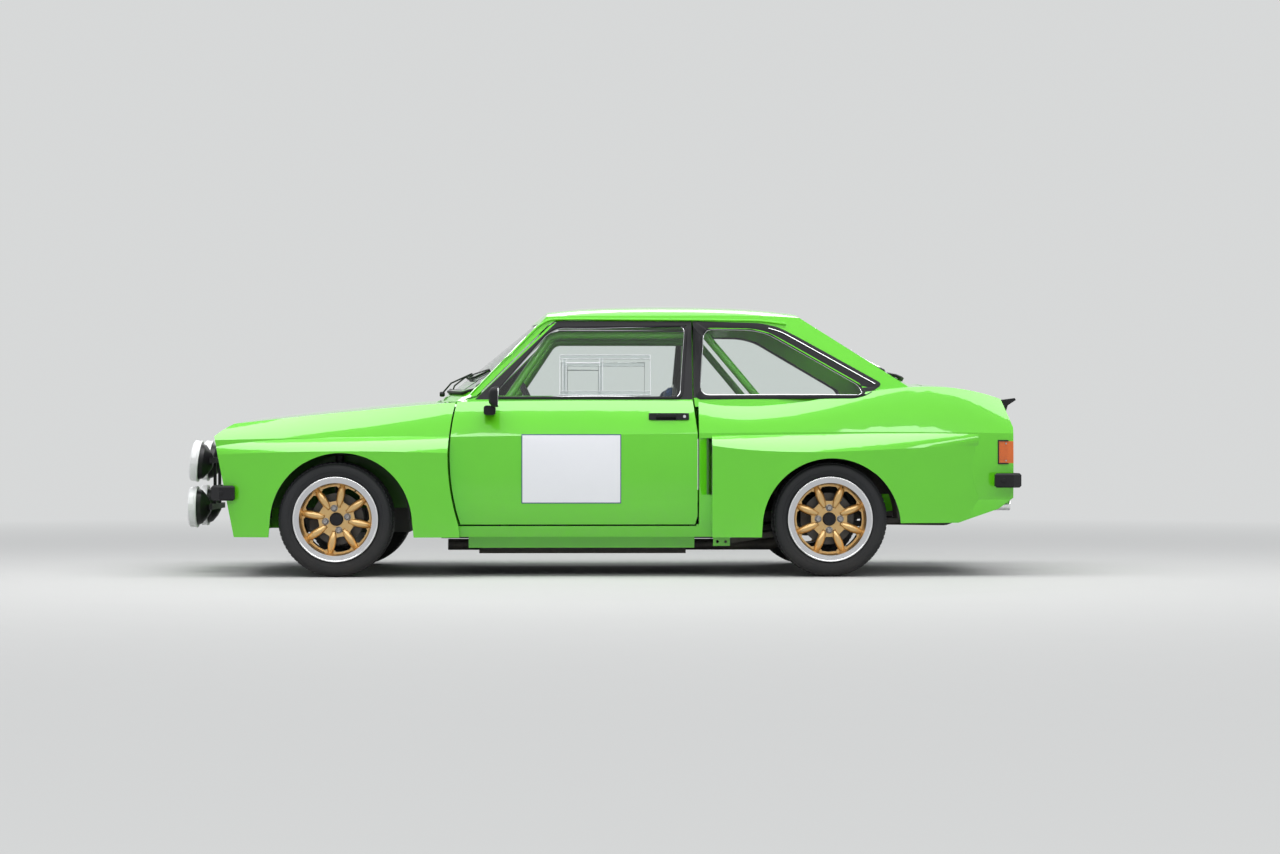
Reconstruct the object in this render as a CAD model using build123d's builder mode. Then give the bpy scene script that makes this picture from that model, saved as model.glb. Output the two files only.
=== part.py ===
from build123d import *
from math import cos, hypot, radians, sin
import os

# Two-door rally saloon with round lamps, wide arches and a roll cage. Millimetres.
# Origin on the floor below the middle of the car, nose toward -X, left side toward -Y, +Z up.
os.makedirs("parts", exist_ok=True)

# Wheels and axles
wheelbase = 2407
front_axle_x = -1280
rear_axle_x = front_axle_x + wheelbase
track = 1430
tyre_radius = 281
tyre_width = 200
rim_width = 210
lip_radius = 207
barrel_radius = 178
barrel_wall = 12
face_depth = 66
face_thick = 26
hub_length = 99
hub_radius = 48
spoke_count = 8
window_inner = 88
window_outer = 157
spoke_rise = 9
disc_radius = 125
disc_thick = 16
stub_radius = 15
axle_z = tyre_radius

# Gaps and walls
panel_gap = 6
shut_gap = 8
seat_gap = 0.3
panel_wall = 12
bonnet_wall = 18
channel_wall = 6
channel_width = 18
door_wall = 72
door_inner_half = 632
cabin_wall = 46
frame_wall = 28
roof_wall = 24
glass_thick = 5
glass_depth = 6
sheet = 10

# Body sides: sill, turn-under and belt
skirt_z = 194
sill_half = 742
sill_in = 640
turn_z = 375
turn_half = 780
door_bottom_z = 255
floor_z = 189
belt_z = 861
drip_z = 1262
house_low_z = belt_z - 30
wing_end_x = -735
quarter_start_x = 489
scoop_start_x = quarter_start_x + 38
scoop_end_x = quarter_start_x + 62
scoop_low_z = 400
scoop_high_z = 677
flange_low_z = 138
shut_line_half = 622
bonnet_end_x = -800
bonnet_lip_z = 698
bulkhead_x = -775

# Body cross-sections: x, half-width and height at the feature line and at the shoulder, height at the middle
front_rows = [
    (-1960, 735, 664, 655, 728, 744),
    (-1280, 778, 679, 692, 800, 828),
    (wing_end_x + 80, 785, 683, 701, 856, 885),
]
middle_rows = [
    (wing_end_x - 20, 785, 682, 701, 853, 880),
    (-120, 787, 692, 703, belt_z, 890),
    (quarter_start_x + 20, 785, 700, 701, belt_z, 900),
]
rear_rows = [
    (quarter_start_x - 20, 785, 700, 701, belt_z, 900),
    (rear_axle_x, 782, 706, 698, 874, 930),
    (1580, 766, 706, 668, 930, 957),
    (2110, 722, 698, 636, 812, 832),
]

# Wide arches: x, half-width and height at the feature line, half-width and height of the arch face
front_flare_rows = [
    (-1960, 712, 650, 735, 590),
    (front_axle_x, 779, 679, 857, 612),
    (wing_end_x + 80, 785, 682, 846, 600),
]
rear_flare_rows = [
    (scoop_end_x, 780, 690, 846, 640),
    (rear_axle_x, 778, 700, 860, 610),
    (1480, 769, 702, 826, 625),
    (1860, 744, 700, 748, 640),
]

# Wheel openings
front_arch_radius = 346
front_arch_top = 604
front_arch_x = front_axle_x + 28
rear_arch_radius = 338
rear_arch_top = 578
rear_arch_x = rear_axle_x + 5

# Nose and tail
nose_x = -1850
nose_bow = 28
nose_z = 455
nose_lean = -0.2
nose_top_z = 668
tail_x = 2046
tail_bow = 16
tail_z = 702
tail_lean = -0.36

# Cabin: height, screen's x at middle and side, its half-width, widest half-width,
# rear window's x at side, its half-width, its x at the middle
cabin_rows = [
    (belt_z, -822, -648, 655, 701, 1640, 640, 1736),
    (drip_z, -332, -276, 545, 563, 1020, 530, 1062),
]
# Roof: x, height at the middle and at the drip rail
roof_rows = [
    (-420, 1286, 1262),
    (-140, 1335, 1270),
    (280, 1350, 1273),
    (740, 1340, 1270),
    (1130, 1276, 1252),
]

# Doors and windows
door_rear_x = quarter_start_x - shut_gap
frame_rear_x = door_rear_x - 22
frame_top_z = drip_z - panel_gap
screen_foot_z = 905
rear_foot_z = 985
handle_x = 342
handle_z = 782
handle_length = 196
handle_height = 34
mirror_y = 850
mirror_z = 876

# Boot and rear lamps
rear_deck_x = 1480
boot_start_x = 1604
boot_line_half = 600
lid_bottom_z = 692
lamp_low_z = 554
lamp_high_z = 662
lamp_start_x = 1959
lamp_in = 470

# Grille, headlamps and driving lamps
grille_low_z = 500
grille_high_z = 672
grille_pitch = 24
grille_bars = 6
headlamp_y = 530
headlamp_radius = 86
grille_inner_half = headlamp_y - headlamp_radius - 6
spot_y = 200
spot_radius = 103
spot_upper_z = 565
spot_lower_z = 330
spot_front_x = -2070
spot_depth = 105
spot_cover = 30
spot_tilt = radians(6.6)
intake_half = 330
intake_low_z = 230
intake_high_z = 300

# Bumpers: x of the side end, x of the far face, low and high edge
bumper_rows = [
    (-1770, -1889, 372, 446),
    (1934, 2070, 434, 505),
]
bumper_wall = 30
bumper_chamfer = 9
bumper_reach = 812

# Floor, tubs and rear suspension
heel_x = 640
deck_z = 424
boot_deck_z = 400
tub_in = 548
tub_radius = 336
spring_y = 500
exhaust_radius = 28
tail_pipe_radius = 22

# Steering and front suspension
strut_top_y = 560
strut_top_z = 770
ball_y = 648
ball_z = 185
arm_z = 162
arm_radius = 16
strut_radius = 22
spring_radius = 52
turret_radius = 84
tower_wall_y = 436
rail_in = tower_wall_y - sheet
member_top_z = 200
wheel_room = 350
caliper_near = 70
caliper_far = 135
caliper_half = 45
caliper_in = 650
caliper_out = 698
disc_clear = 6

# Cabin fittings
driver_y = 350
dash_half = 600
dash_top_z = house_low_z - 5
cage_radius = 19
cage_bend = 70
hoop_x = 466
seat_half = 215
seat_middle_half = 138


def arc_point(start, end, rise):
    """Middle point of an arc that stands rise to the left of its chord."""
    dx = end[0] - start[0]
    dy = end[1] - start[1]
    length = hypot(dx, dy)
    return ((start[0] + end[0]) / 2 - dy / length * rise, (start[1] + end[1]) / 2 + dx / length * rise)


def outline(*points):
    """A flat face with straight sides."""
    with BuildSketch() as shape:
        with BuildLine():
            Polyline(*points, close=True)
        make_face()
    return shape.sketch


def grown(shape, margin):
    """The same face with every side moved out by a margin."""
    with BuildSketch() as bigger:
        add(shape)
        offset(amount=margin, kind=Kind.INTERSECTION)
    return bigger.sketch


def cut_out(shape, near, depth):
    """A side view pushed out to the left from a distance off the middle."""
    with BuildPart() as block:
        with BuildSketch(Plane.XZ.offset(near)):
            add(shape)
        extrude(amount=depth)
    return block.part


def slab(low, high):
    """A plain block between two opposite corners."""
    middle = tuple((a + b) / 2 for a, b in zip(low, high))
    with BuildPart() as block:
        with Locations(middle):
            Box(*[abs(b - a) for a, b in zip(low, high)])
    return block.part


def common(first, *others):
    """What several bodies share."""
    with BuildPart() as shared:
        add(first)
        for other in others:
            add(other, mode=Mode.INTERSECT)
    return shared.part


def less(first, *others):
    """A body without what others take away."""
    with BuildPart() as rest:
        add(first)
        for other in others:
            add(other, mode=Mode.SUBTRACT)
    return rest.part


def both_sides(half):
    """The left half of a piece joined to its mirror image."""
    with BuildPart() as whole:
        add(half)
        mirror(half, about=Plane.XZ)
    return whole.part


def rod(start, end, radius):
    """A round bar between two points."""
    length = (Vector(*end) - Vector(*start)).length
    with BuildPart() as bar:
        with BuildSketch(Plane(origin=start, z_dir=Vector(*end) - Vector(*start))):
            Circle(radius)
        extrude(amount=length)
    return bar.part


def bent_tube(points, radius, bend):
    """A round tube along straight runs with rounded bends."""
    with BuildPart() as tube:
        with BuildLine() as path:
            FilletPolyline(*points, radius=bend)
        with BuildSketch(Plane(origin=path.line @ 0, z_dir=path.line % 0)):
            Circle(radius)
        sweep(path=path.line)
    return tube.part


def finish(piece, name):
    """Labels a finished piece and writes it out."""
    piece.part.label = name
    export_step(piece.part, f"parts/{name}.step")


def body_loft(rows, inset):
    """Left half of a stretch of body, its surface moved in by inset, open below when inset."""
    low = skirt_z - 2 * inset
    with BuildPart() as stretch:
        for x, crease_half, crease_z, edge_half, edge_z, middle_z in rows:
            bottom = (inset - sill_half, low)
            turn = (inset - turn_half * crease_half / 785, turn_z)
            crease = (inset - crease_half, crease_z)
            edge = (inset - edge_half, edge_z - 0.6 * inset)
            with BuildSketch(Plane.YZ.offset(x)):
                with BuildLine():
                    Line((0, low), bottom)
                    ThreePointArc(bottom, arc_point(bottom, turn, 8), turn)
                    ThreePointArc(turn, arc_point(turn, crease, 7), crease)
                    ThreePointArc(crease, arc_point(crease, edge, 7), edge)
                    TangentArc((0, middle_z - inset), edge, tangent=(-1, 0))
                    Line((0, middle_z - inset), (0, low))
                make_face()
        loft()
    return stretch.part


def nose_limit(inset):
    """Everything behind the leaning, slightly bowed front face."""
    span = 900
    with BuildPart() as limit:
        with BuildSketch(Plane.XY.offset(nose_z - 600)):
            with BuildLine():
                middle = (nose_x + inset - 600 * nose_lean, 0)
                corner = (middle[0] + nose_bow, -span)
                TangentArc(middle, corner, tangent=(0, -1))
                Polyline(corner, (0, -span), (0, 0), middle)
            make_face()
        extrude(amount=1400, dir=(nose_lean, 0, 1))
    return limit.part


def tail_limit(inset):
    """Everything ahead of the slightly bowed rear face, which leans forward above the feature line."""
    span = 900
    with BuildPart() as limit:
        with BuildSketch():
            with BuildLine():
                middle = (tail_x - inset, 0)
                corner = (middle[0] - tail_bow, -span)
                TangentArc(middle, corner, tangent=(0, -1))
                Polyline(corner, (0, -span), (0, 0), middle)
            make_face()
        extrude(amount=1400)
        with BuildSketch(Plane.XZ):
            with BuildLine():
                Polyline(
                    (tail_x - inset, tail_z),
                    (tail_x - inset + 300 * tail_lean, tail_z + 300),
                    (tail_x + 100, tail_z + 300),
                    (tail_x + 100, tail_z),
                    close=True,
                )
            make_face()
        extrude(amount=span, mode=Mode.SUBTRACT)
    return limit.part


def front_body(inset):
    """Left half of the front of the body, with its rounded leading edge."""
    block = common(body_loft(front_rows, inset), nose_limit(inset))
    with BuildPart() as front:
        add(block)
        with BuildSketch(Plane.XZ):
            with BuildLine():
                low = (nose_x - 60 + inset, nose_top_z - 12 - inset)
                high = (nose_x + 220 + inset, nose_top_z + 130 - inset)
                ThreePointArc(low, arc_point(low, high, 26), high)
                Polyline(high, (high[0], 1100), (low[0] - 100, 1100), (low[0] - 100, low[1]), low)
            make_face()
        extrude(amount=900, mode=Mode.SUBTRACT)
    return front.part


def rear_body(inset):
    """Left half of the rear of the body."""
    return common(body_loft(rear_rows, inset), tail_limit(inset))


def flare(rows, inset):
    """Wide arch that stands out from the body side on the left."""
    low = skirt_z - 2 * inset
    with BuildPart() as wide:
        for x, crease_half, crease_z, face_half, face_z in rows:
            crease = (inset - crease_half, crease_z - inset)
            face = (inset - face_half, face_z - inset)
            root = min(sill_half - panel_wall, crease_half - 20)
            inward = inset if x == rows[0][0] else -inset if x == rows[-1][0] else 0
            with BuildSketch(Plane.YZ.offset(x + inward)):
                with BuildLine():
                    Polyline((-root, low), (-root, crease[1]), crease)
                    ThreePointArc(crease, arc_point(crease, face, -8), face)
                    Polyline(face, (face[0] + 8, low), (-root, low))
                make_face()
        loft()
    return wide.part


def arch_opening(x, radius, top, foot):
    """Side view of a wheel opening: a round head on legs that spread to the foot."""
    leg_z = top - radius + 40
    half = (radius**2 - 40**2) ** 0.5
    low = skirt_z - 60
    with BuildSketch() as opening:
        with BuildLine():
            ThreePointArc((x - half, leg_z), (x, top), (x + half, leg_z))
            Polyline((x + half, leg_z), (x + half + foot, low), (x - half - foot, low), (x - half, leg_z))
        make_face()
    return opening.sketch


def cabin_shell(inset, low_z, high_z):
    """Left half of the glasshouse between two heights, its surface moved in by inset."""
    lower, upper = cabin_rows
    rise = upper[0] - lower[0]
    slopes = [hypot(1, (b - a) / rise) for a, b in zip(lower, upper)]
    with BuildPart() as house:
        for z in (low_z, high_z):
            share = (z - lower[0]) / rise
            sizes = [a + (b - a) * share for a, b in zip(lower, upper)]
            _, screen_x, screen_side_x, screen_half, widest, rear_side_x, rear_half, rear_x = sizes
            screen = (screen_x + inset * slopes[1], 0)
            screen_side = (screen_side_x + inset * slopes[2], inset - screen_half)
            side = ((screen_side_x + rear_side_x) / 2, inset * slopes[4] - widest)
            rear_side = (rear_side_x - inset * slopes[5], inset - rear_half)
            rear = (rear_x - inset * slopes[7], 0)
            with BuildSketch(Plane.XY.offset(z)):
                with BuildLine():
                    TangentArc(screen, screen_side, tangent=(0, -1))
                    ThreePointArc(screen_side, side, rear_side)
                    TangentArc(rear, rear_side, tangent=(0, -1))
                    Line(rear, screen)
                make_face()
        loft(ruled=True)
    return house.part


def roof_cap(inset):
    """Left half of the crowned roof's outer form, moved down by inset."""
    half = 580
    with BuildPart() as cap:
        for x, middle_z, side_z in roof_rows:
            top = middle_z - inset
            edge = side_z - inset
            with BuildSketch(Plane.YZ.offset(x)):
                with BuildLine():
                    crown = TangentArc((0, top), (-0.7 * half, top - 0.3 * (top - edge)), tangent=(-1, 0))
                    TangentArc(crown @ 1, (-half, edge), tangent=crown % 1)
                    Polyline((-half, edge), (-half, drip_z - 200), (0, drip_z - 200), (0, top))
                make_face()
        loft()
    return cap.part


def ahead_of_door(shift):
    """Side view of all that lies ahead of the door's front edge, the edge moved back by shift."""
    high, middle, low = [(x + shift, z) for x, z in door_front]
    with BuildSketch() as view:
        with BuildLine():
            ThreePointArc(high, middle, low)
            Polyline(low, (low[0] + 12, skirt_z - 60), (nose_x - 300, skirt_z - 60), (nose_x - 300, 1100))
            Polyline((nose_x - 300, 1100), (high[0], 1100), high)
        make_face()
    return view.sketch


def caliper(x, side, drop):
    """A brake caliper round the disc's front edge, with the plate that carries it."""
    low_z = axle_z - caliper_half + drop
    high_z = axle_z + caliper_half + drop
    slot_half = disc_thick / 2 + disc_clear
    with BuildPart() as brake:
        add(slab((x - caliper_far, side * caliper_in, low_z), (x - caliper_near, side * caliper_out, high_z)))
        with BuildSketch(Plane.XZ.offset(-side * (disc_y - slot_half))):
            with Locations((x, axle_z)):
                Circle(disc_radius + disc_clear)
        extrude(amount=-side * 2 * slot_half, mode=Mode.SUBTRACT)
        plate_start = (x - caliper_near - 20, side * (caliper_in - 10), low_z + 20)
        add(slab(plate_start, (x, side * (caliper_in + 2), high_z - 20)))
    return brake.part


# Side, front and rear views of the openings
door_front = ((-694, 854), (wing_end_x + shut_gap, 610), (-676, door_bottom_z))
with BuildSketch() as door_shape:
    with BuildLine():
        ThreePointArc(*door_front)
        Polyline(door_front[2], (door_rear_x - 12, door_bottom_z), (door_rear_x, door_bottom_z + 40))
        Polyline((door_rear_x, door_bottom_z + 40), (door_rear_x, 700), (frame_rear_x, belt_z + 10))
        Polyline((frame_rear_x, belt_z + 10), (frame_rear_x, frame_top_z), (-205, frame_top_z))
        Polyline((-205, frame_top_z), (-246, frame_top_z - 24), (-598, 878), (-694, 854))
    make_face()
door_outline = door_shape.sketch
door_window = outline(
    (-536, belt_z + 14),
    (-262, frame_top_z - 58),
    (-205, frame_top_z - 27),
    (frame_rear_x - 24, frame_top_z - 20),
    (frame_rear_x - 52, belt_z + 14),
)
quarter_window = outline(
    (487, belt_z + 22),
    (512, frame_top_z - 35),
    (760, frame_top_z - 38),
    (852, frame_top_z - 62),
    (1296, belt_z + 76),
    (1312, belt_z + 40),
    (1290, belt_z + 22),
)
screen_opening = outline((0, screen_foot_z + 20), (-596, screen_foot_z), (-512, 1242), (0, 1252))
rear_opening = outline((0, rear_foot_z), (-560, rear_foot_z), (-486, 1238), (0, 1246))
tail_sweep = outline((1300, 0), (1300, 262), (1760, 262), (1960, 330), (2200, 500), (2200, 0))
with BuildPart() as screen_cut:
    with BuildSketch(Plane.YZ.offset(-900)):
        add(screen_opening)
    extrude(amount=900)
with BuildPart() as rear_cut:
    with BuildSketch(Plane.YZ.offset(700)):
        add(rear_opening)
    extrude(amount=1100)

# Surfaces that the panels are cut from
front_outer = front_body(0)
rear_outer = rear_body(0)
lid_inner = rear_body(bonnet_wall)
side_outer = body_loft(middle_rows, 0)
house_outer = cabin_shell(0, house_low_z, drip_z)
house_inner = cabin_shell(cabin_wall, house_low_z - 30, drip_z + 1)
glass_shell = less(house_outer, cabin_shell(glass_depth + glass_thick, house_low_z - 30, drip_z + 1))
glass_shell = common(glass_shell, cabin_shell(glass_depth, house_low_z - 30, drip_z + 1))
door_hole = grown(door_outline, shut_gap)
frame_field = slab((-900, -900, belt_z + 24), (900, 0, 1400))
with BuildPart() as door_space:
    add(common(cut_out(door_hole, 400, 500), frame_field))
    add(cut_out(door_hole, door_inner_half - 5, 400))
window_space = cut_out(door_window, 400, 500)
quarter_space = cut_out(quarter_window, 400, 500)

# Front wings with their wide arches
wing_hollow = common(
    flare(front_flare_rows, panel_wall),
    nose_limit(panel_wall),
    cut_out(ahead_of_door(-shut_gap - panel_wall), 600, 400),
)
wing_face = common(flare(front_flare_rows, 0), nose_limit(0))
wing_field = cut_out(ahead_of_door(-shut_gap), shut_line_half + panel_gap, 300)
front_arch = cut_out(arch_opening(front_arch_x, front_arch_radius, front_arch_top, 16), 560, 400)
channel_inset = bonnet_wall + seat_gap
channel_under = front_body(channel_inset + channel_wall)
channel_start = (nose_x + 60, -shut_line_half - panel_gap - channel_wall, 700)
channel_web = common(
    less(front_outer, channel_under),
    slab(channel_start, (bonnet_end_x, -shut_line_half - panel_gap, 900)),
)
channel_floor = common(
    less(front_body(channel_inset), channel_under),
    slab(channel_start, (bonnet_end_x, channel_width - shut_line_half, 900)),
)
with BuildPart() as front_wings:
    add(front_outer)
    add(wing_face)
    add(front_body(panel_wall), mode=Mode.SUBTRACT)
    add(wing_hollow, mode=Mode.SUBTRACT)
    add(front_arch, mode=Mode.SUBTRACT)
    add(wing_field, mode=Mode.INTERSECT)
    add(channel_web)
    add(channel_floor)
    mirror(about=Plane.XZ)
finish(front_wings, "front_wings")

# Bonnet, hinged at its rear edge
top_shell = less(front_outer, front_body(bonnet_wall))
bonnet_field = slab((nose_x - 200, -shut_line_half, bonnet_lip_z), (bonnet_end_x, 0, 1100))
with BuildPart() as bonnet:
    add(top_shell)
    add(bonnet_field, mode=Mode.INTERSECT)
    mirror(about=Plane.XZ)
finish(bonnet, "bonnet")

# Front panel around the grille opening
nose_half = shut_line_half + panel_gap
nose_clear = -shut_line_half - panel_gap + seat_gap
panel_field = slab((nose_x - 200, -nose_half, nose_z), (nose_x + 150, 0, bonnet_lip_z - panel_gap))
grille_middle_z = (grille_low_z + grille_high_z) / 2
grille_hole = slab((nose_x - 100, -nose_half + 8, grille_low_z), (nose_x + 200, 0, grille_high_z))
with BuildPart() as front_panel:
    add(front_outer)
    add(front_body(26), mode=Mode.SUBTRACT)
    add(panel_field, mode=Mode.INTERSECT)
    add(grille_hole, mode=Mode.SUBTRACT)
    mirror(about=Plane.XZ)
finish(front_panel, "front_panel")

# Lower front valance with its air intake
dam_field = slab((nose_x - 200, -nose_half, skirt_z), (nose_x + 200, 0, nose_z))
intake = slab((nose_x - 100, -intake_half, intake_low_z), (nose_x + 300, 0, intake_high_z))
with BuildPart() as air_dam:
    add(front_outer)
    add(nose_limit(14), mode=Mode.SUBTRACT)
    add(dam_field, mode=Mode.INTERSECT)
    add(intake, mode=Mode.SUBTRACT)
    mirror(about=Plane.XZ)
finish(air_dam, "air_dam")

# Grille with level bars between the headlamps
with BuildPart() as grille:
    with BuildSketch(Plane.YZ.offset(nose_x + 2)):
        with Locations((0, grille_middle_z)):
            Rectangle(2 * grille_inner_half, grille_high_z - grille_low_z)
            Rectangle(2 * grille_inner_half - 24, grille_high_z - grille_low_z - 24, mode=Mode.SUBTRACT)
            with GridLocations(0, grille_pitch, 1, grille_bars):
                Rectangle(2 * grille_inner_half - 12, 6)
    extrude(amount=16)
finish(grille, "grille")

# Round headlamps beside the grille
headlamp_plane = Plane(origin=(nose_x, -headlamp_y, grille_middle_z), x_dir=(1, 0, 0), z_dir=(0, -1, 0))
with BuildPart() as headlamps:
    with BuildSketch(headlamp_plane):
        with BuildLine():
            rim = headlamp_radius
            Polyline((75, 0), (-10, 0), (-8, 0.4 * rim), (-2, 0.8 * rim), (6, rim), (20, rim))
            Polyline((20, rim), (75, 0.6 * rim), (75, 0))
        make_face()
    revolve(axis=Axis((0, -headlamp_y, grille_middle_z), (1, 0, 0)))
    mirror(about=Plane.XZ)
finish(headlamps, "headlamps")

# Roof panel
roof_hollow = common(cabin_shell(cabin_wall, drip_z - 5, drip_z + 110), roof_cap(roof_wall))
with BuildPart() as roof_panel:
    add(cabin_shell(0, drip_z, drip_z + 110))
    add(roof_cap(0), mode=Mode.INTERSECT)
    add(roof_hollow, mode=Mode.SUBTRACT)
    mirror(about=Plane.XZ)
finish(roof_panel, "roof_panel")

# Body sides: quarter panels with wide arches, sills, door posts, pillars and window surrounds
quarter_in = -boot_line_half - panel_gap
quarter_field = slab((quarter_start_x, -900, 0), (tail_x + 100, quarter_in, 1100))
rear_arch = cut_out(arch_opening(rear_arch_x, rear_arch_radius, rear_arch_top, 10), 540, 400)
post_half = sill_half - panel_wall - seat_gap
sill = less(
    common(side_outer, slab((wing_end_x, -900, skirt_z), (quarter_start_x, -sill_in, door_bottom_z))),
    cut_out(ahead_of_door(seat_gap - shut_gap), post_half, 200),
)
rear_post = common(rear_outer, slab((quarter_start_x, -900, skirt_z), (quarter_start_x + 50, -670, belt_z)))
front_post = common(
    front_body(panel_wall + seat_gap),
    slab((wing_end_x - 40, -post_half, skirt_z), (door_front[2][0], -sill_in, belt_z)),
)
corner_field = slab((bonnet_end_x + panel_gap, -720, 800), (wing_end_x + 55, quarter_in, 1100))
wing_top_end = door_front[0][0] - shut_gap + seat_gap
wing_block = slab((-900, -900, 0), (wing_top_end, nose_clear, 1100))
scuttle_corner = less(common(top_shell, corner_field), wing_block)
deck_field = slab((rear_deck_x, -650, 700), (boot_start_x - panel_gap, 0, 1100))
rear_deck = common(rear_outer, deck_field)
house_field = slab((bonnet_end_x + panel_gap, -800, 0), (boot_start_x - panel_gap, 0, 1300))
house = common(less(house_outer, house_inner), house_field)
lamp_space = slab((lamp_start_x, -900, lamp_low_z), (tail_x + 100, -lamp_in, lamp_high_z))
with BuildPart() as scoop:
    add(slab((scoop_start_x - 1, -900, scoop_low_z), (scoop_end_x, -700, scoop_high_z)))
    with BuildSketch(Plane.XY.offset(scoop_low_z)):
        with BuildLine():
            ramp_x = quarter_start_x + 4
            Polyline((scoop_start_x, -800), (ramp_x, -800), (ramp_x, -786), (scoop_start_x, -771), close=True)
        make_face()
    extrude(amount=scoop_high_z - scoop_low_z)
with BuildPart() as sill_flange:
    add(slab((-640, -662, flange_low_z), (470, -650, skirt_z + 4)))
    add(slab((-583, -664, flange_low_z + 20), (-540, -650, skirt_z + 4)))
with BuildPart() as hanger:
    with BuildSketch(Plane.XZ.offset(732)):
        with Locations((600, 176)):
            Rectangle(82, 54)
        with Locations((580, 170), (620, 170)):
            Circle(7, mode=Mode.SUBTRACT)
    extrude(amount=9)
with BuildPart() as body_sides:
    add(rear_outer)
    add(flare(rear_flare_rows, 0))
    add(rear_body(panel_wall), mode=Mode.SUBTRACT)
    add(flare(rear_flare_rows, panel_wall), mode=Mode.SUBTRACT)
    add(quarter_field, mode=Mode.INTERSECT)
    add(less(rear_deck, lid_inner))
    add(rear_arch, mode=Mode.SUBTRACT)
    add(cut_out(tail_sweep, 500, 400), mode=Mode.SUBTRACT)
    add(rear_post)
    add(scoop.part, mode=Mode.SUBTRACT)
    add(sill)
    add(sill_flange.part)
    add(hanger.part)
    add(front_post)
    add(scuttle_corner)
    add(house)
    add(door_space.part, mode=Mode.SUBTRACT)
    add(quarter_space, mode=Mode.SUBTRACT)
    add(screen_cut.part, mode=Mode.SUBTRACT)
    add(rear_cut.part, mode=Mode.SUBTRACT)
    add(lamp_space, mode=Mode.SUBTRACT)
    mirror(about=Plane.XZ)
finish(body_sides, "body_sides")

# Fixed glass: windscreen, back window and quarter windows
with BuildPart() as fixed_glass:
    add(common(glass_shell, screen_cut.part))
    add(common(glass_shell, rear_cut.part))
    add(common(glass_shell, quarter_space))
    mirror(about=Plane.XZ)
finish(fixed_glass, "fixed_glass")

# Boot lid, hinged at its front edge, with a lip spoiler
lid_field = slab((boot_start_x, -boot_line_half, lid_bottom_z), (tail_x + 100, 0, 1100))
with BuildPart() as boot_lid:
    add(rear_outer)
    add(lid_inner, mode=Mode.SUBTRACT)
    add(lid_field, mode=Mode.INTERSECT)
    mirror(about=Plane.XZ)
finish(boot_lid, "boot_lid")

spoiler_half = boot_line_half - 8
with BuildPart() as boot_spoiler:
    with BuildSketch(Plane.XZ.offset(-spoiler_half)):
        with BuildLine():
            Polyline((1925, 852), (2064, 876), (2070, 866), (2030, 840), (2010, 780), (1925, 780), close=True)
        make_face()
    extrude(amount=2 * spoiler_half)
    add(both_sides(rear_outer), mode=Mode.SUBTRACT)
finish(boot_spoiler, "boot_spoiler")

# Rear panel and wrap-round lamps
panel_rear_field = slab((tail_x - 100, quarter_in, 300), (tail_x + 100, 0, lid_bottom_z - panel_gap))
with BuildPart() as rear_panel:
    add(rear_outer)
    add(rear_body(20), mode=Mode.SUBTRACT)
    add(panel_rear_field, mode=Mode.INTERSECT)
    add(lamp_space, mode=Mode.SUBTRACT)
    add(cut_out(tail_sweep, 0, 700), mode=Mode.SUBTRACT)
    mirror(about=Plane.XZ)
finish(rear_panel, "rear_panel")

with BuildPart() as rear_lamps:
    add(rear_outer)
    add(rear_body(40), mode=Mode.SUBTRACT)
    add(lamp_space, mode=Mode.INTERSECT)
    mirror(about=Plane.XZ)
finish(rear_lamps, "rear_lamps")

# Quarter bumpers at the four corners
with BuildPart() as quarter_bumpers:
    for side_x, far_x, low_z, high_z in bumper_rows:
        way = 1 if far_x > 0 else -1
        back = far_x - bumper_wall * way
        with BuildSketch(Plane.XY.offset(low_z)):
            with BuildLine():
                Polyline(
                    (side_x, -bumper_reach),
                    (far_x - 45 * way, -bumper_reach),
                    (far_x, bumper_wall + 20 - bumper_reach),
                    (far_x, -480),
                    (back, -480),
                    (back, bumper_wall + 40 - bumper_reach),
                    (back - 30 * way, bumper_wall - bumper_reach),
                    (side_x, bumper_wall - bumper_reach),
                    close=True,
                )
            make_face()
        extrude(amount=high_z - low_z)
    chamfer(quarter_bumpers.edges().filter_by(Plane.XY), length=bumper_chamfer)
    add(front_outer, mode=Mode.SUBTRACT)
    add(rear_outer, mode=Mode.SUBTRACT)
    mirror(about=Plane.XZ)
finish(quarter_bumpers, "quarter_bumpers")

# Four covered driving lamps on a carrier
with BuildPart() as spot_lamps:
    for z, tilt in ((spot_lower_z, 0), (spot_upper_z, spot_tilt)):
        lamp_origin = (spot_front_x + spot_radius * sin(tilt), -spot_y, z)
        lamp_axis = (cos(tilt), 0, -sin(tilt))
        with BuildSketch(Plane(origin=lamp_origin, x_dir=lamp_axis, z_dir=(0, -1, 0))):
            with BuildLine():
                rim = spot_radius
                Polyline(
                    (0, 0),
                    (0, rim - 8),
                    (8, rim),
                    (spot_cover, rim),
                    (spot_cover, rim - 6),
                    (0.6 * spot_depth, 0.82 * rim),
                    (0.85 * spot_depth, 0.52 * rim),
                    (spot_depth, 0.24 * rim),
                    (spot_depth, 0),
                    close=True,
                )
            make_face()
        revolve(axis=Axis(lamp_origin, lamp_axis))
    mirror(about=Plane.XZ)
finish(spot_lamps, "spot_lamps")

carrier_x = spot_front_x + spot_depth
with BuildPart() as lamp_carrier:
    for z in (spot_lower_z, spot_upper_z):
        add(slab((carrier_x, -spot_y - 60, z - 14), (carrier_x + 14, spot_y + 60, z + 14)))
    for y in (-90, 90):
        add(slab((carrier_x, y - 12, spot_lower_z - 14), (carrier_x + 14, y + 12, spot_upper_z + 14)))
        add(slab((carrier_x, y - 12, 390), (nose_x + 60, y + 12, 420)))
    add(both_sides(front_outer), mode=Mode.SUBTRACT)
    add(spot_lamps.part, mode=Mode.SUBTRACT)
finish(lamp_carrier, "lamp_carrier")

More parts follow.
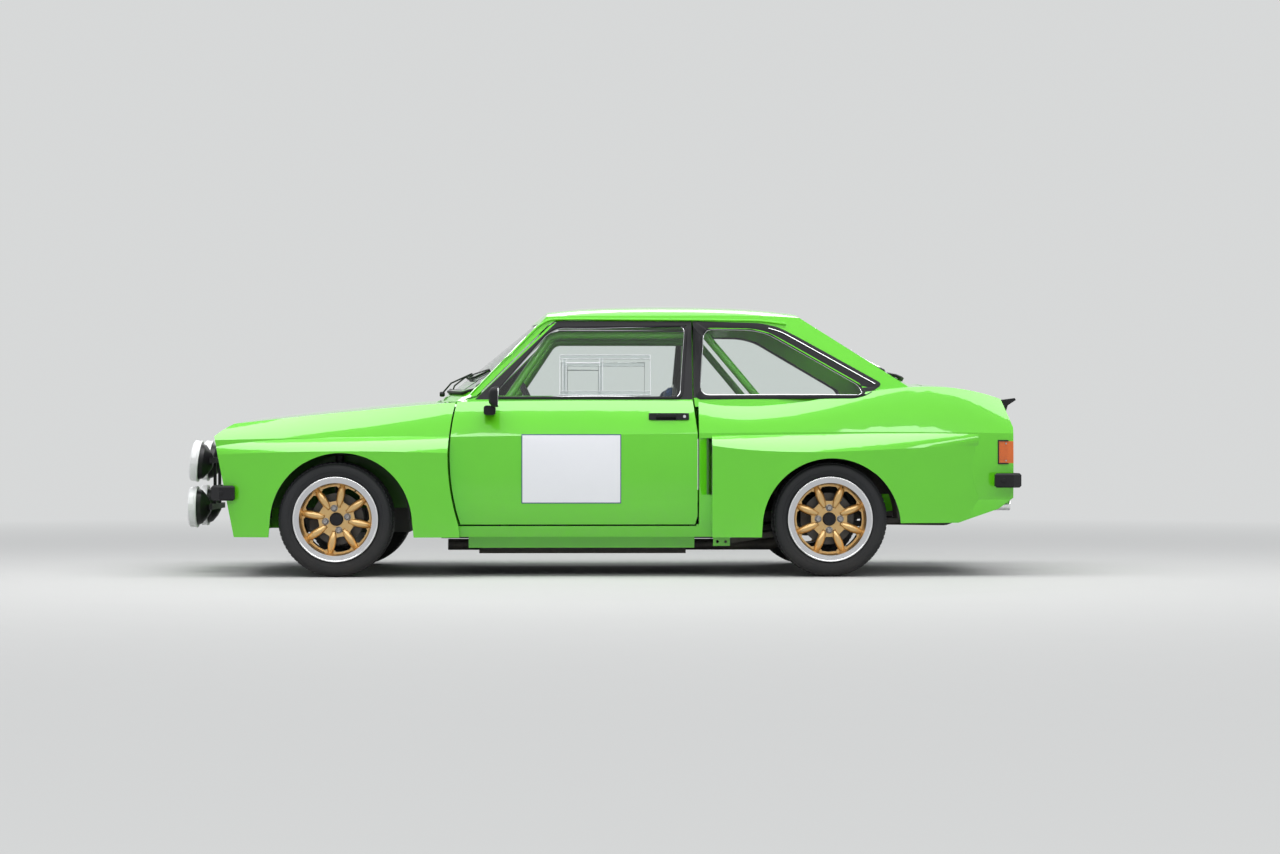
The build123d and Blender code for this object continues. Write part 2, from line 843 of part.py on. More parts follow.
# Engine bay: bulkhead, inner wings with their wheel arches and strut turrets
turret_low_z = axle_z + 310
wheel_ring_reach = 752
with BuildPart() as engine_bay:
    add(slab((bulkhead_x, 0, floor_z - 5), (bulkhead_x + sheet, 638, house_low_z)))
    add(slab((bulkhead_x, -638, floor_z - 5), (bulkhead_x + sheet, 0, house_low_z)))
    with BuildSketch(Plane.XZ.offset(tower_wall_y)):
        with Locations((front_axle_x, axle_z)):
            Circle(wheel_room + sheet)
            Circle(wheel_room, mode=Mode.SUBTRACT)
        with Locations((front_axle_x, axle_z - wheel_room)):
            Rectangle(3 * wheel_room, 2 * wheel_room, mode=Mode.SUBTRACT)
    extrude(amount=wheel_ring_reach - tower_wall_y)
    with Locations((front_axle_x, -strut_top_y, turret_low_z)):
        Cylinder(turret_radius - sheet, 400, mode=Mode.SUBTRACT)
    with BuildSketch(Plane.XY.offset(turret_low_z)):
        with Locations((front_axle_x, -strut_top_y)):
            Circle(turret_radius)
            Circle(turret_radius - sheet, mode=Mode.SUBTRACT)
    extrude(amount=strut_top_z - turret_low_z)
    with BuildSketch(Plane.XY.offset(strut_top_z)):
        with Locations((front_axle_x, -strut_top_y)):
            Circle(turret_radius)
            Circle(14, mode=Mode.SUBTRACT)
    extrude(amount=sheet)
    add(slab((nose_x + 80, -tower_wall_y, 330), (bulkhead_x, -tower_wall_y + sheet, 700)))
    mirror(about=Plane.XZ)
finish(engine_bay, "engine_bay")

# Doors: lower panel and window frame in one, with glass and mirror
door_panel = common(
    less(side_outer, body_loft(middle_rows, door_wall)),
    slab((-900, -900, 0), (900, -door_inner_half, belt_z)),
    cut_out(door_outline, 600, 300),
)
frame_shell = less(house_outer, cabin_shell(frame_wall, house_low_z - 30, drip_z + 1))
with BuildPart() as frame_space:
    add(common(cut_out(door_outline, 400, 500), slab((-900, -900, belt_z + 29), (900, 0, 1400))))
    add(cut_out(door_outline, door_inner_half, 400))
window_frame = common(frame_shell, frame_space.part)
with BuildPart() as door_left:
    add(door_panel)
    add(window_frame)
    add(window_space, mode=Mode.SUBTRACT)
    with BuildSketch(Plane.XZ.offset(725)):
        with Locations((handle_x - 13, handle_z - 10)):
            Rectangle(98, 20)
    extrude(amount=100, mode=Mode.SUBTRACT)
    with BuildSketch(Plane.XZ.offset(742)):
        with Locations((handle_x, handle_z)):
            RectangleRounded(handle_length, handle_height, 14)
        with Locations((handle_x - 13, handle_z - 11)):
            RectangleRounded(98, 14, 5, mode=Mode.SUBTRACT)
    extrude(amount=22)
finish(door_left, "door_left")

with BuildPart() as door_right:
    mirror(door_left.part, about=Plane.XZ)
finish(door_right, "door_right")

with BuildPart() as door_left_glass:
    add(glass_shell)
    add(window_space, mode=Mode.INTERSECT)
finish(door_left_glass, "door_left_glass")

with BuildPart() as door_right_glass:
    mirror(door_left_glass.part, about=Plane.XZ)
finish(door_right_glass, "door_right_glass")

with BuildPart() as door_left_mirror:
    for x, width, height in ((-534, 86, 56), (-514, 124, 92), (-490, 130, 98)):
        with BuildSketch(Plane.YZ.offset(x)):
            with Locations((-mirror_y, mirror_z)):
                RectangleRounded(width, height, 24)
    loft()
    with BuildSketch(Plane.XZ.offset(700)):
        with Locations((-533, 812)):
            RectangleRounded(56, 46, 12)
    extrude(amount=110)
    add(side_outer, mode=Mode.SUBTRACT)
finish(door_left_mirror, "door_left_mirror")

with BuildPart() as door_right_mirror:
    mirror(door_left_mirror.part, about=Plane.XZ)
finish(door_right_mirror, "door_right_mirror")

# Floor with its tunnel, boot floor with its wheel tubs
with BuildPart() as floor_pan:
    with BuildSketch(Plane.YZ.offset(bulkhead_x + sheet)):
        with BuildLine() as floor_line:
            Polyline((-sill_in, floor_z), (-140, floor_z), (-105, floor_z + 150), (105, floor_z + 150))
            Polyline((105, floor_z + 150), (140, floor_z), (sill_in, floor_z))
        trace(floor_line.line, line_width=sheet)
    extrude(amount=heel_x - bulkhead_x - sheet)
finish(floor_pan, "floor_pan")

with BuildPart() as boot_floor:
    with BuildSketch(Plane.XZ.offset(-tub_in)):
        with BuildLine() as boot_line:
            Polyline((heel_x + 5, floor_z - sheet / 2), (heel_x + 5, deck_z), (1500, deck_z))
            Polyline((1500, deck_z), (1560, boot_deck_z), (tail_x - 40, boot_deck_z))
        trace(boot_line.line, line_width=sheet)
    extrude(amount=2 * tub_in)
    add(slab((heel_x, -100, floor_z - 20), (heel_x + 20, 100, floor_z + 155)), mode=Mode.SUBTRACT)
    with BuildSketch(Plane.XZ.offset(tub_in)):
        with Locations((rear_axle_x, axle_z)):
            Circle(tub_radius + sheet)
            Circle(tub_radius, mode=Mode.SUBTRACT)
        with Locations((rear_axle_x, axle_z - tub_radius)):
            Rectangle(3 * tub_radius, 2 * tub_radius, mode=Mode.SUBTRACT)
    extrude(amount=wheel_ring_reach - tub_in)
    with BuildSketch(Plane.XZ.offset(tub_in)):
        with Locations((rear_axle_x, axle_z)):
            Circle(tub_radius + sheet)
        with Locations((rear_axle_x, boot_deck_z - tub_radius)):
            Rectangle(3 * tub_radius, 2 * tub_radius, mode=Mode.SUBTRACT)
    extrude(amount=sheet)
    mirror(about=Plane.XZ)
finish(boot_floor, "boot_floor")

# Cabin fittings
column_tilt = radians(25)
wheel_centre = (-330, driver_y, 810)
column_axis = (cos(column_tilt), 0, sin(column_tilt))
column_end = tuple(a - 44 * b for a, b in zip(wheel_centre, column_axis))
column_start = tuple(a - 330 * b for a, b in zip(wheel_centre, column_axis))
with BuildPart() as dashboard:
    with BuildSketch(Plane.XZ.offset(-dash_half)):
        with BuildLine():
            Polyline((-700, 780), (-640, dash_top_z), (-520, dash_top_z), (-494, 800))
            Polyline((-494, 800), (-504, 700), (-560, 660), (-700, 660), (-700, 780))
        make_face()
    extrude(amount=2 * dash_half)
    add(rod(column_start, column_end, 24))
finish(dashboard, "dashboard")

wheel_plane = Plane(origin=wheel_centre, x_dir=(0, 1, 0), z_dir=column_axis)
rim_plane = Plane(origin=wheel_centre, x_dir=(0, 1, 0), z_dir=(-sin(column_tilt), 0, cos(column_tilt)))
with BuildPart() as steering_wheel:
    with BuildSketch(rim_plane):
        with Locations((165, 0)):
            RegularPolygon(15, 8)
    revolve(axis=Axis(wheel_centre, column_axis))
    with BuildSketch(wheel_plane.offset(-30)):
        Circle(34)
    extrude(amount=26)
    with BuildSketch(wheel_plane.offset(-10)):
        with PolarLocations(0, 3, start_angle=90):
            with Locations((82, 0)):
                Rectangle(160, 28)
    extrude(amount=6)
finish(steering_wheel, "steering_wheel")

with BuildPart() as seats:
    with BuildSketch(Plane.XZ.offset(driver_y - seat_middle_half)):
        with BuildLine():
            Polyline((-66, 262), (-80, 390), (-60, 405), (205, 352), (250, 480), (285, 760), (330, 930))
            Polyline((330, 930), (372, 950), (392, 920), (368, 700), (310, 262), (-66, 262))
        make_face()
    extrude(amount=2 * seat_middle_half)
    for y in (driver_y - seat_half, driver_y + seat_middle_half):
        with BuildSketch(Plane.XZ.offset(y)):
            with BuildLine():
                Polyline((-50, 262), (-66, 420), (-30, 448), (130, 430), (170, 500), (178, 690), (262, 800))
                Polyline((262, 800), (300, 838), (368, 838), (368, 700), (310, 262), (-50, 262))
            make_face()
        extrude(amount=seat_half - seat_middle_half)
    for y in (driver_y - 62, driver_y + 62):
        add(slab((200, -y - 30, 800), (420, -y + 30, 828)), mode=Mode.SUBTRACT)
    for y in (driver_y - 150, driver_y + 150):
        add(slab((-40, -y - 15, floor_z + 5), (280, -y + 15, 264)))
    mirror(about=Plane.XZ)
finish(seats, "seats")

with BuildPart() as roll_cage:
    for points in (
        ((hoop_x, -600, floor_z + 5), (hoop_x, -600, 860), (hoop_x, -488, 1215), (hoop_x, 40, 1215)),
        ((-465, -600, floor_z + 5), (-465, -600, 850), (-235, -478, 1190), (hoop_x, -478, 1190)),
    ):
        add(bent_tube(points, cage_radius, cage_bend))
    add(rod((hoop_x + 62, -478, 1196), (1010, -500, 620), cage_radius))
    add(rod((hoop_x, -478, 1190), (hoop_x + 74, -478, 1190), cage_radius))
    add(slab((hoop_x - 100, 0, 1100), (hoop_x + 100, 100, 1300)), mode=Mode.SUBTRACT)
    mirror(about=Plane.XZ)
finish(roll_cage, "roll_cage")

# Running gear: engine, radiator, crossmember, axle, springs and exhaust
wheel_y = track / 2
hub_end_y = wheel_y - 60
axle_end_y = hub_end_y - 5
stub_end_y = hub_end_y + 60
disc_y = wheel_y - 40
with BuildPart() as engine:
    add(slab((-1500, -170, member_top_z + seat_gap), (-960, 170, 690)))
finish(engine, "engine")

with BuildPart() as radiator:
    add(slab((nose_x + 110, -rail_in + seat_gap, 330), (nose_x + 160, rail_in - seat_gap, 690)))
finish(radiator, "radiator")

with BuildPart() as front_crossmember:
    add(slab((front_axle_x - 45, -rail_in, 140), (front_axle_x + 45, rail_in, member_top_z)))
    for side in (-1, 1):
        add(rod((front_axle_x, side * 400, arm_z), (front_axle_x, side * (ball_y + 2), arm_z), arm_radius))
finish(front_crossmember, "front_crossmember")

with BuildPart() as rear_axle:
    add(rod((rear_axle_x, -axle_end_y, axle_z), (rear_axle_x, axle_end_y, axle_z), 34))
    with Locations((rear_axle_x, 0, axle_z)):
        Sphere(112)
    add(rod((-760, 0, 262), (rear_axle_x, 0, axle_z), 30))
    for side in (-1, 1):
        stub_end = (rear_axle_x, side * stub_end_y, axle_z)
        add(rod((rear_axle_x, side * (axle_end_y - 2), axle_z), stub_end, stub_radius))
        add(caliper(rear_axle_x, side, 0))
finish(rear_axle, "rear_axle")

with BuildPart() as leaf_springs:
    with BuildSketch(Plane.XZ.offset(spring_y - 30)):
        with BuildLine() as leaf:
            ThreePointArc((600, 158), (rear_axle_x, axle_z - 34 - 13.8), (1740, 290))
        trace(leaf.line, line_width=26)
    extrude(amount=60)
    mirror(about=Plane.XZ)
finish(leaf_springs, "leaf_springs")

with BuildPart() as exhaust:
    front_run = ((-760, -240, 140), (900, -240, 140), (1000, -240, 362), (1260, -240, 362))
    tail_run = ((1240, -240, 362), (1400, -280, 262), (1740, -420, 262), (1900, -560, 334), (2030, -560, 346))
    add(bent_tube(front_run, exhaust_radius, 60))
    add(bent_tube(tail_run, tail_pipe_radius, 50))
    add(slab((-600, -330, 98), (440, -160, 178)))
finish(exhaust, "exhaust")

# Front struts: one casting with hub carrier, spring, steering arm and brake caliper
for side, name in ((-1, "strut_left"), (1, "strut_right")):
    with BuildPart() as strut:
        strut_top = (front_axle_x, side * strut_top_y, strut_top_z - 4)
        add(rod((front_axle_x, side * (strut_top_y + 25), 250), strut_top, strut_radius))
        spring_top = (front_axle_x, side * strut_top_y, strut_top_z - 8)
        add(rod((front_axle_x, side * (strut_top_y + 5), 640), spring_top, spring_radius))
        add(slab((front_axle_x - 30, side * 575, 215), (front_axle_x + 30, side * (hub_end_y - 1), 320)))
        add(caliper(front_axle_x, side, -12))
        ball_low = (front_axle_x, side * ball_y, arm_z + arm_radius + seat_gap)
        add(rod(ball_low, (front_axle_x, side * ball_y, 216), 10))
        stub_end = (front_axle_x, side * stub_end_y, axle_z)
        add(rod((front_axle_x, side * (hub_end_y - 2), axle_z), stub_end, stub_radius))
    finish(strut, name)

wheel_window = outline(
    (window_inner, -16),
    (window_outer - 14, -44),
    (window_outer, -34),
    (window_outer + 4, 0),
    (window_outer, 34),
    (window_outer - 14, 44),
    (window_inner, 16),
)
spoke_start = hub_radius + 10
spoke_end = window_outer + 1
wheel_spoke = outline((spoke_start, -10), (spoke_end, -17), (spoke_end, 17), (spoke_start, 10))

# Wheels and tyres: name, x, side, turn of the spokes
for name, x, side, turn in (
    ("front_left", front_axle_x, -1, 12),
    ("front_right", front_axle_x, 1, 0),
    ("rear_left", rear_axle_x, -1, 0),
    ("rear_right", rear_axle_x, 1, 0),
):
    centre = (x, side * wheel_y, axle_z)
    half_rim = rim_width / 2
    section = Plane(origin=centre, x_dir=(0, side, 0), z_dir=(side, 0, 0))
    axis = Axis(centre, (0, side, 0))
    face_centre = (x, side * (wheel_y + half_rim - face_depth), axle_z)
    face = Plane(origin=face_centre, x_dir=(side, 0, 0), z_dir=(0, side, 0))
    with BuildPart() as wheel:
        with BuildSketch(section):
            with BuildLine():
                Polyline(
                    (-half_rim, lip_radius),
                    (-half_rim, barrel_radius - barrel_wall),
                    (half_rim - face_depth, barrel_radius - barrel_wall),
                    (half_rim, lip_radius - 30),
                    (half_rim, lip_radius),
                    (half_rim - 9, lip_radius),
                    (half_rim - 12, barrel_radius),
                    (12 - half_rim, barrel_radius),
                    (9 - half_rim, lip_radius),
                    close=True,
                )
            make_face()
            with Locations((half_rim - face_depth - face_thick / 2, (hub_radius + barrel_radius) / 2 - 4)):
                Rectangle(face_thick, barrel_radius - hub_radius - 4)
            with Locations((-60 + hub_length / 2, (stub_radius + hub_radius) / 2 + 0.05)):
                Rectangle(hub_length, hub_radius - stub_radius - 0.1)
            with Locations((-40, (hub_radius + disc_radius) / 2)):
                Rectangle(disc_thick, disc_radius - hub_radius + 4)
        revolve(axis=axis)
        with BuildSketch(face):
            with PolarLocations(0, spoke_count, start_angle=turn):
                add(wheel_window)
        extrude(amount=-2 * face_thick, mode=Mode.SUBTRACT)
        with BuildSketch(face):
            with PolarLocations(0, spoke_count, start_angle=turn + 180 / spoke_count):
                add(wheel_spoke)
        extrude(amount=spoke_rise, taper=30)
    finish(wheel, "wheel_" + name)

    half_tyre = tyre_width / 2
    with BuildPart() as tyre:
        with BuildSketch(section):
            with BuildLine():
                for way in (-1, 1):
                    Polyline(
                        (0, barrel_radius),
                        (way * (half_rim - 13), barrel_radius),
                        (way * (half_rim - 13), lip_radius + 3),
                        (way * (half_tyre - 3), lip_radius + 12),
                        (way * half_tyre, lip_radius + 32),
                        (way * (half_tyre - 6), tyre_radius - 20),
                        (way * (half_tyre - 18), tyre_radius - 5),
                        (way * (half_tyre - 34), tyre_radius),
                        (0, tyre_radius),
                    )
            make_face()
        revolve(axis=axis)
    finish(tyre, "tyre_" + name)
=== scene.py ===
import math

import bmesh
import bpy
from bpy.props import FloatProperty, FloatVectorProperty, IntProperty, PointerProperty
from mathutils import Matrix, Vector
from mathutils.bvhtree import BVHTree


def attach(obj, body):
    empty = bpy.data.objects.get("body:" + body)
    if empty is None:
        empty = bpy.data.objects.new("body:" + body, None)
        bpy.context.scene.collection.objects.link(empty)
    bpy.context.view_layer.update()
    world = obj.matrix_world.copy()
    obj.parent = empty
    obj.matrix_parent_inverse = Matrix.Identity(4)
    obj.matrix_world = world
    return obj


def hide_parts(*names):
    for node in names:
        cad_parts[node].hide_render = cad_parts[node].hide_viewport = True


bl_info = {
    "name": "Two-Door Rally Saloon",
    "version": (1, 0, 0),
    "blender": (4, 5, 0),
    "location": "3D View > Sidebar > Saloon",
    "description": "Finishes, glass, trim, wheels, tyres and cabin of a two-door rally saloon",
    "category": "Object",
}

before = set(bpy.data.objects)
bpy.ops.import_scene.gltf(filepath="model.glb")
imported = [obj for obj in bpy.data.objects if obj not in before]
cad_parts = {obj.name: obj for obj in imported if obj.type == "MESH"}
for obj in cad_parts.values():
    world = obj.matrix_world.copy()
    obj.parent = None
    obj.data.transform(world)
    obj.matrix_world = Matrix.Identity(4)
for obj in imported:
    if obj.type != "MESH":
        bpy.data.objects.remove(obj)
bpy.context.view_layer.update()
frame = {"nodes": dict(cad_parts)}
node = frame["nodes"]

# Places on the car, in metres

FRONT_AXLE = -1.28
REAR_AXLE = 1.127
AXLE_HEIGHT = 0.281
TYRE_RADIUS = AXLE_HEIGHT
WHEEL_OFFSET = 0.715
RIM_FACE = WHEEL_OFFSET + 0.105 - 0.066
HOUSING_REACH = 0.752
BELT_LINE = 0.866
DRIVER_Y = 0.35
SEAT_MIDDLE = -0.35
STEERING_CENTRE = (-0.33, DRIVER_Y, 0.81)
STEERING_TILT = math.radians(25)
DIAL_FACE = -0.4955
CORNERS = (
    ("front_left", FRONT_AXLE, -1),
    ("front_right", FRONT_AXLE, 1),
    ("rear_left", REAR_AXLE, -1),
    ("rear_right", REAR_AXLE, 1),
)
DOORS = ("door_left", "door_right")
DOOR_WINDOW = ((-0.536, 0.875), (-0.262, 1.198), (-0.205, 1.229), (0.435, 1.236), (0.407, 0.875))
DOOR_CARD = ((-0.655, 0.300), (0.452, 0.300), (0.468, 0.835), (-0.640, 0.835))
QUARTER_OUTER = (
    (0.476, 0.866), (0.466, 1.257), (0.800, 1.2475), (0.892, 1.228), (0.998, 1.173), (1.405, 0.944),
    (1.321, 0.889), (1.263, 0.872),
)
QUARTER_INNER = (
    (0.494, 0.888), (0.517, 1.2185), (0.756, 1.2155), (0.836, 1.197), (0.925, 1.148), (1.282, 0.940),
    (1.303, 0.903), (1.283, 0.889),
)
SCREEN_HALF = ((0.0, 0.925), (-0.596, 0.905), (-0.512, 1.242), (0.0, 1.252))
BACK_HALF = ((0.0, 0.985), (-0.560, 0.985), (-0.486, 1.238), (0.0, 1.246))
DRIP_RAIL = (
    (-0.628, 0.888), (-0.300, 1.232), (-0.245, 1.2655), (-0.10, 1.2665), (0.80, 1.2600), (0.93, 1.243),
)
PLATE_LOW = (-0.378, 0.358)
PLATE_HIGH = (0.108, 0.695)

# The windscreen pillar's rear edge is the line Z = slope * X + edge

PILLAR_SLOPE = 0.9635
PILLAR_EDGE = 1.454

# Driving lamps: name, height and backward lean of each pair

SPOT_LEVELS = (("low", 0.330, 0.0), ("high", 0.565, math.radians(6.6)))
SPOT_FRONT = -2.070
SPOT_OUT = 0.200
SPOT_RADIUS = 0.103
SPOT_COVER = 0.031

# Side views of the seat's parts: X and Z

SEAT_WING = (
    (-0.042, 0.272), (-0.056, 0.412), (-0.028, 0.438), (0.124, 0.420), (0.180, 0.498), (0.188, 0.684),
    (0.270, 0.792), (0.306, 0.828), (0.356, 0.828), (0.358, 0.700), (0.302, 0.272),
)
SEAT_BASE = ((-0.058, 0.300), (-0.068, 0.378), (-0.050, 0.392), (0.180, 0.346), (0.185, 0.300))
SEAT_BACK = ((0.222, 0.352), (0.262, 0.480), (0.296, 0.756), (0.302, 0.782), (0.350, 0.775), (0.300, 0.330))
SEAT_HEAD = ((0.312, 0.842), (0.336, 0.922), (0.368, 0.938), (0.384, 0.914), (0.368, 0.836))
SEAT_SHELL = (
    (-0.062, 0.264), (-0.062, 0.300), (0.190, 0.300), (0.302, 0.345), (0.356, 0.780), (0.372, 0.948),
    (0.390, 0.920), (0.367, 0.700), (0.309, 0.264),
)

# The studio: lens of the photograph in pixels, camera, background, and lamps by place, turn, size and share

IMAGE_WIDTH = 1280
LENS_PIXELS = 2762
SENSOR_WIDTH = 36
CAMERA_PLACE = (-0.0848, -14.255, 0.634)
CAMERA_TURN = (90.411, 0, -1.211)
FLOOR_REACH = 150
BACKGROUND = (0.68, 0.69, 0.69)
FADE_START = 2.8
FADE_LENGTH = 8.0
SOFT_LIGHT = (0.86, 0.90, 1.0)
SOFT_STRENGTH = 0.34
STUDIO_LAMPS = (
    ("Roof Lamp", (0, -1.5, 6.0), (0, 0, 0), (11, 4.5), 1.25),
    ("Side Lamp", (0, -11.5, 7.6), (55, 0, 0), (16, 2.6), 1.15),
    ("Nose Lamp", (-10, -2, 4.5), (0, -64, 0), (5, 9), 0.22),
    ("Tail Lamp", (10, -2, 4.5), (0, 64, 0), (5, 9), 0.22),
    ("Back Lamp", (0, 11.5, 7.6), (-55, 0, 0), (16, 2.6), 0.8),
)

# Colours, and plain finishes by name, colour, roughness and what else differs from an ordinary surface

ROAD_DUST = (0.24, 0.20, 0.15)
BLACK = (0.009, 0.009, 0.011)
# Near-black painted shade for the inner faces of the wheel arches
ARCH_SHADE = (0.012, 0.014, 0.013)
PLAIN_FINISHES = {
    "rubber": (
        "Black Rubber", (0.010, 0.010, 0.012), 0.6, dict(grain=700, bump=0.15, dust=0.02, specular=0.25),
    ),
    "trim": ("Black Trim", BLACK, 0.5, dict(grain=900, bump=0.12, dust=0.02, specular=0.25)),
    "bright": ("Bright Trim", (0.82, 0.83, 0.85), 0.12, dict(metallic=1.0, bump=0.01, shade=0.05, dust=0.05)),
    "polished": ("Polished Alloy", (0.85, 0.85, 0.86), 0.14, dict(metallic=1.0, bump=0.02, dust=0.08)),
    "steel": ("Dull Steel", (0.42, 0.42, 0.43), 0.42, dict(metallic=1.0, bump=0.1, spread=0.3, dust=0.3)),
    "dark_steel": (
        "Dark Steel", (0.05, 0.05, 0.052), 0.48, dict(metallic=0.2, bump=0.15, dust=0.5, dust_height=0.8),
    ),
    "underside": (
        "Underseal", (0.035, 0.037, 0.036), 0.75, dict(grain=120, bump=0.5, dust=0.55, dust_height=0.9),
    ),
    "iron": (
        "Cast Iron", (0.10, 0.10, 0.105), 0.6,
        dict(metallic=0.4, grain=260, bump=0.35, dust=0.3, dust_height=0.9),
    ),
    "tyre": (
        "Tyre Rubber", (0.009, 0.010, 0.012), 0.55,
        dict(grain=500, bump=0.2, spread=0.2, dust=0.10, dust_height=0.3, specular=0.4),
    ),
    "white": (
        "White Cover", (0.80, 0.80, 0.80), 0.34,
        dict(coat=0.3, grain=300, bump=0.03, shade=0.05, dust=0.25, dust_height=0.8),
    ),
    "mirror": ("Mirror Silver", (0.9, 0.9, 0.92), 0.03, dict(metallic=1.0, bump=0.0, shade=0.02, dust=0.0)),
    # Painted highlight: pale strips along the edges of the clear slider bars
    "slider_glint": ("Slider Glint", (0.72, 0.74, 0.76), 0.25, dict(coat=0.5, dust=0.0)),
    "shell": ("Seat Shell", (0.014, 0.014, 0.016), 0.28, dict(coat=0.6, grain=260, bump=0.1, dust=0.1)),
    "suede": ("Suede Grip", (0.012, 0.012, 0.014), 0.95, dict(grain=1400, bump=0.6, spread=0.2, dust=0.0)),
    "cast": (
        "Cast Alloy", (0.40, 0.40, 0.41), 0.45,
        dict(metallic=0.9, grain=300, bump=0.3, dust=0.2, dust_height=0.9),
    ),
    "dash": ("Dashboard Vinyl", (0.018, 0.018, 0.02), 0.55, dict(grain=350, bump=0.35, dust=0.1)),
    "carpet": (
        "Cabin Floor", (0.03, 0.032, 0.034), 0.9, dict(grain=500, bump=0.6, dust=0.2, dust_height=0.4),
    ),
    "amber": ("Amber Lens", (0.70, 0.13, 0.008), 0.15, dict(coat=0.6, bump=0.05, dust=0.02)),
}

# The finish of each CAD node that has a plain one

NODE_FINISHES = {
    "paint": ("roof_panel", "front_panel", "air_dam", "bonnet", "boot_lid", "rear_panel"),
    "shaded_inner_paint": ("roll_cage",),
    "carpet": ("floor_pan",),
    "underside": ("boot_floor",),
    "glass": ("fixed_glass", "door_left_glass", "door_right_glass"),
    "trim": ("grille", "lamp_carrier", "door_left_mirror", "door_right_mirror"),
    "rubber": ("quarter_bumpers", "boot_spoiler", "steering_wheel"),
    "dash": ("dashboard",),
    "cloth": ("seats",),
    "iron": ("engine",),
    "steel": ("radiator",),
    "dark_steel": ("front_crossmember", "rear_axle", "leaf_springs", "exhaust", "strut_left", "strut_right"),
    "tyre": tuple("tyre_" + corner for corner, _, _ in CORNERS),
}


class SaloonColours(bpy.types.PropertyGroup):
    """Colours of the car and of the studio floor"""

    paint: FloatVectorProperty(
        name="Paint", description="Body colour", subtype="COLOR", min=0, max=1, default=(0.112, 0.60, 0.005)
    )
    wheels: FloatVectorProperty(
        name="Wheels", description="Colour of the wheel centres", subtype="COLOR", min=0, max=1,
        default=(0.70, 0.46, 0.19),
    )
    plates: FloatVectorProperty(
        name="Plates", description="Colour of the blank door plates", subtype="COLOR", min=0, max=1,
        default=(0.82, 0.83, 0.86),
    )
    seats: FloatVectorProperty(
        name="Seats", description="Colour of the seat cloth", subtype="COLOR", min=0, max=1,
        default=(0.012, 0.05, 0.16),
    )
    floor: FloatVectorProperty(
        name="Floor", description="Colour of the studio floor", subtype="COLOR", min=0, max=1,
        default=(0.50, 0.50, 0.49),
    )


class SaloonSizes(bpy.types.PropertyGroup):
    """Sizes of small parts, and the power of the lamps"""

    bead_radius: FloatProperty(
        name="Bead radius", description="Radius of the bright bead in a window rubber", unit="LENGTH",
        default=0.0022,
    )
    groove_depth: FloatProperty(
        name="Groove depth", description="Depth of the grooves in the tyre tread", unit="LENGTH",
        default=0.006,
    )
    tread_blocks: IntProperty(name="Tread blocks", description="Blocks round one tyre", default=72, min=12)
    plate_border: FloatProperty(
        name="Plate border", description="Width of the dark line round a door plate", unit="LENGTH",
        default=0.004,
    )
    lamp_power: FloatProperty(
        name="Lamp power", description="Power that the studio lamps share", unit="POWER", default=480
    )


def colours():
    """The colour settings of this scene."""
    return bpy.context.scene.saloon_colours


def sizes():
    """The size settings of this scene."""
    return bpy.context.scene.saloon_sizes


# Shader groups


def group_socket(tree, name, kind, way="INPUT", value=None):
    """A named socket of a node group."""
    socket = tree.interface.new_socket(name, in_out=way, socket_type="NodeSocket" + kind)
    if value is not None:
        socket.default_value = value


def math_node(tree, operation, *values, clamp=False):
    """A Math node; each value is a number or a socket."""
    result = tree.nodes.new("ShaderNodeMath")
    result.operation = operation
    result.use_clamp = clamp
    for socket, value in zip(result.inputs, values):
        if isinstance(value, (int, float)):
            socket.default_value = value
        else:
            tree.links.new(value, socket)
    return result.outputs[0]


def noise_node(tree, vector, scale, detail=3.0, roughness=0.55):
    """A Noise node; its scale is a number or a socket."""
    noise = tree.nodes.new("ShaderNodeTexNoise")
    noise.inputs["Detail"].default_value = detail
    noise.inputs["Roughness"].default_value = roughness
    tree.links.new(vector, noise.inputs["Vector"])
    if isinstance(scale, (int, float)):
        noise.inputs["Scale"].default_value = scale
    else:
        tree.links.new(scale, noise.inputs["Scale"])
    return noise.outputs["Fac"]


def road_dust_group():
    """Dust that lies thicker near the road: a mask from height and noise."""
    tree = bpy.data.node_groups.get("Road Dust")
    if tree:
        return tree
    tree = bpy.data.node_groups.new("Road Dust", "ShaderNodeTree")
    group_socket(tree, "Vector", "Vector")
    group_socket(tree, "Height", "Float", value=0.45)
    group_socket(tree, "Amount", "Float", value=0.3)
    group_socket(tree, "Mask", "Float", "OUTPUT")
    given = tree.nodes.new("NodeGroupInput")
    out = tree.nodes.new("NodeGroupOutput")
    split = tree.nodes.new("ShaderNodeSeparateXYZ")
    tree.links.new(given.outputs["Vector"], split.inputs[0])
    low = math_node(tree, "SUBTRACT", given.outputs["Height"], split.outputs["Z"])
    low = math_node(tree, "DIVIDE", low, given.outputs["Height"], clamp=True)
    cloud = noise_node(tree, given.outputs["Vector"], 9.0, 6.0, 0.7)
    speck = noise_node(tree, given.outputs["Vector"], 160.0, 3.0, 0.6)
    speck = math_node(tree, "MULTIPLY", speck, 0.35)
    cloud = math_node(tree, "ADD", cloud, speck)
    cloud = math_node(tree, "SUBTRACT", cloud, 0.45, clamp=True)
    mask = math_node(tree, "MULTIPLY", low, cloud)
    mask = math_node(tree, "MULTIPLY", mask, 2.2)
    mask = math_node(tree, "MULTIPLY", mask, given.outputs["Amount"], clamp=True)
    tree.links.new(mask, out.inputs["Mask"])
    return tree


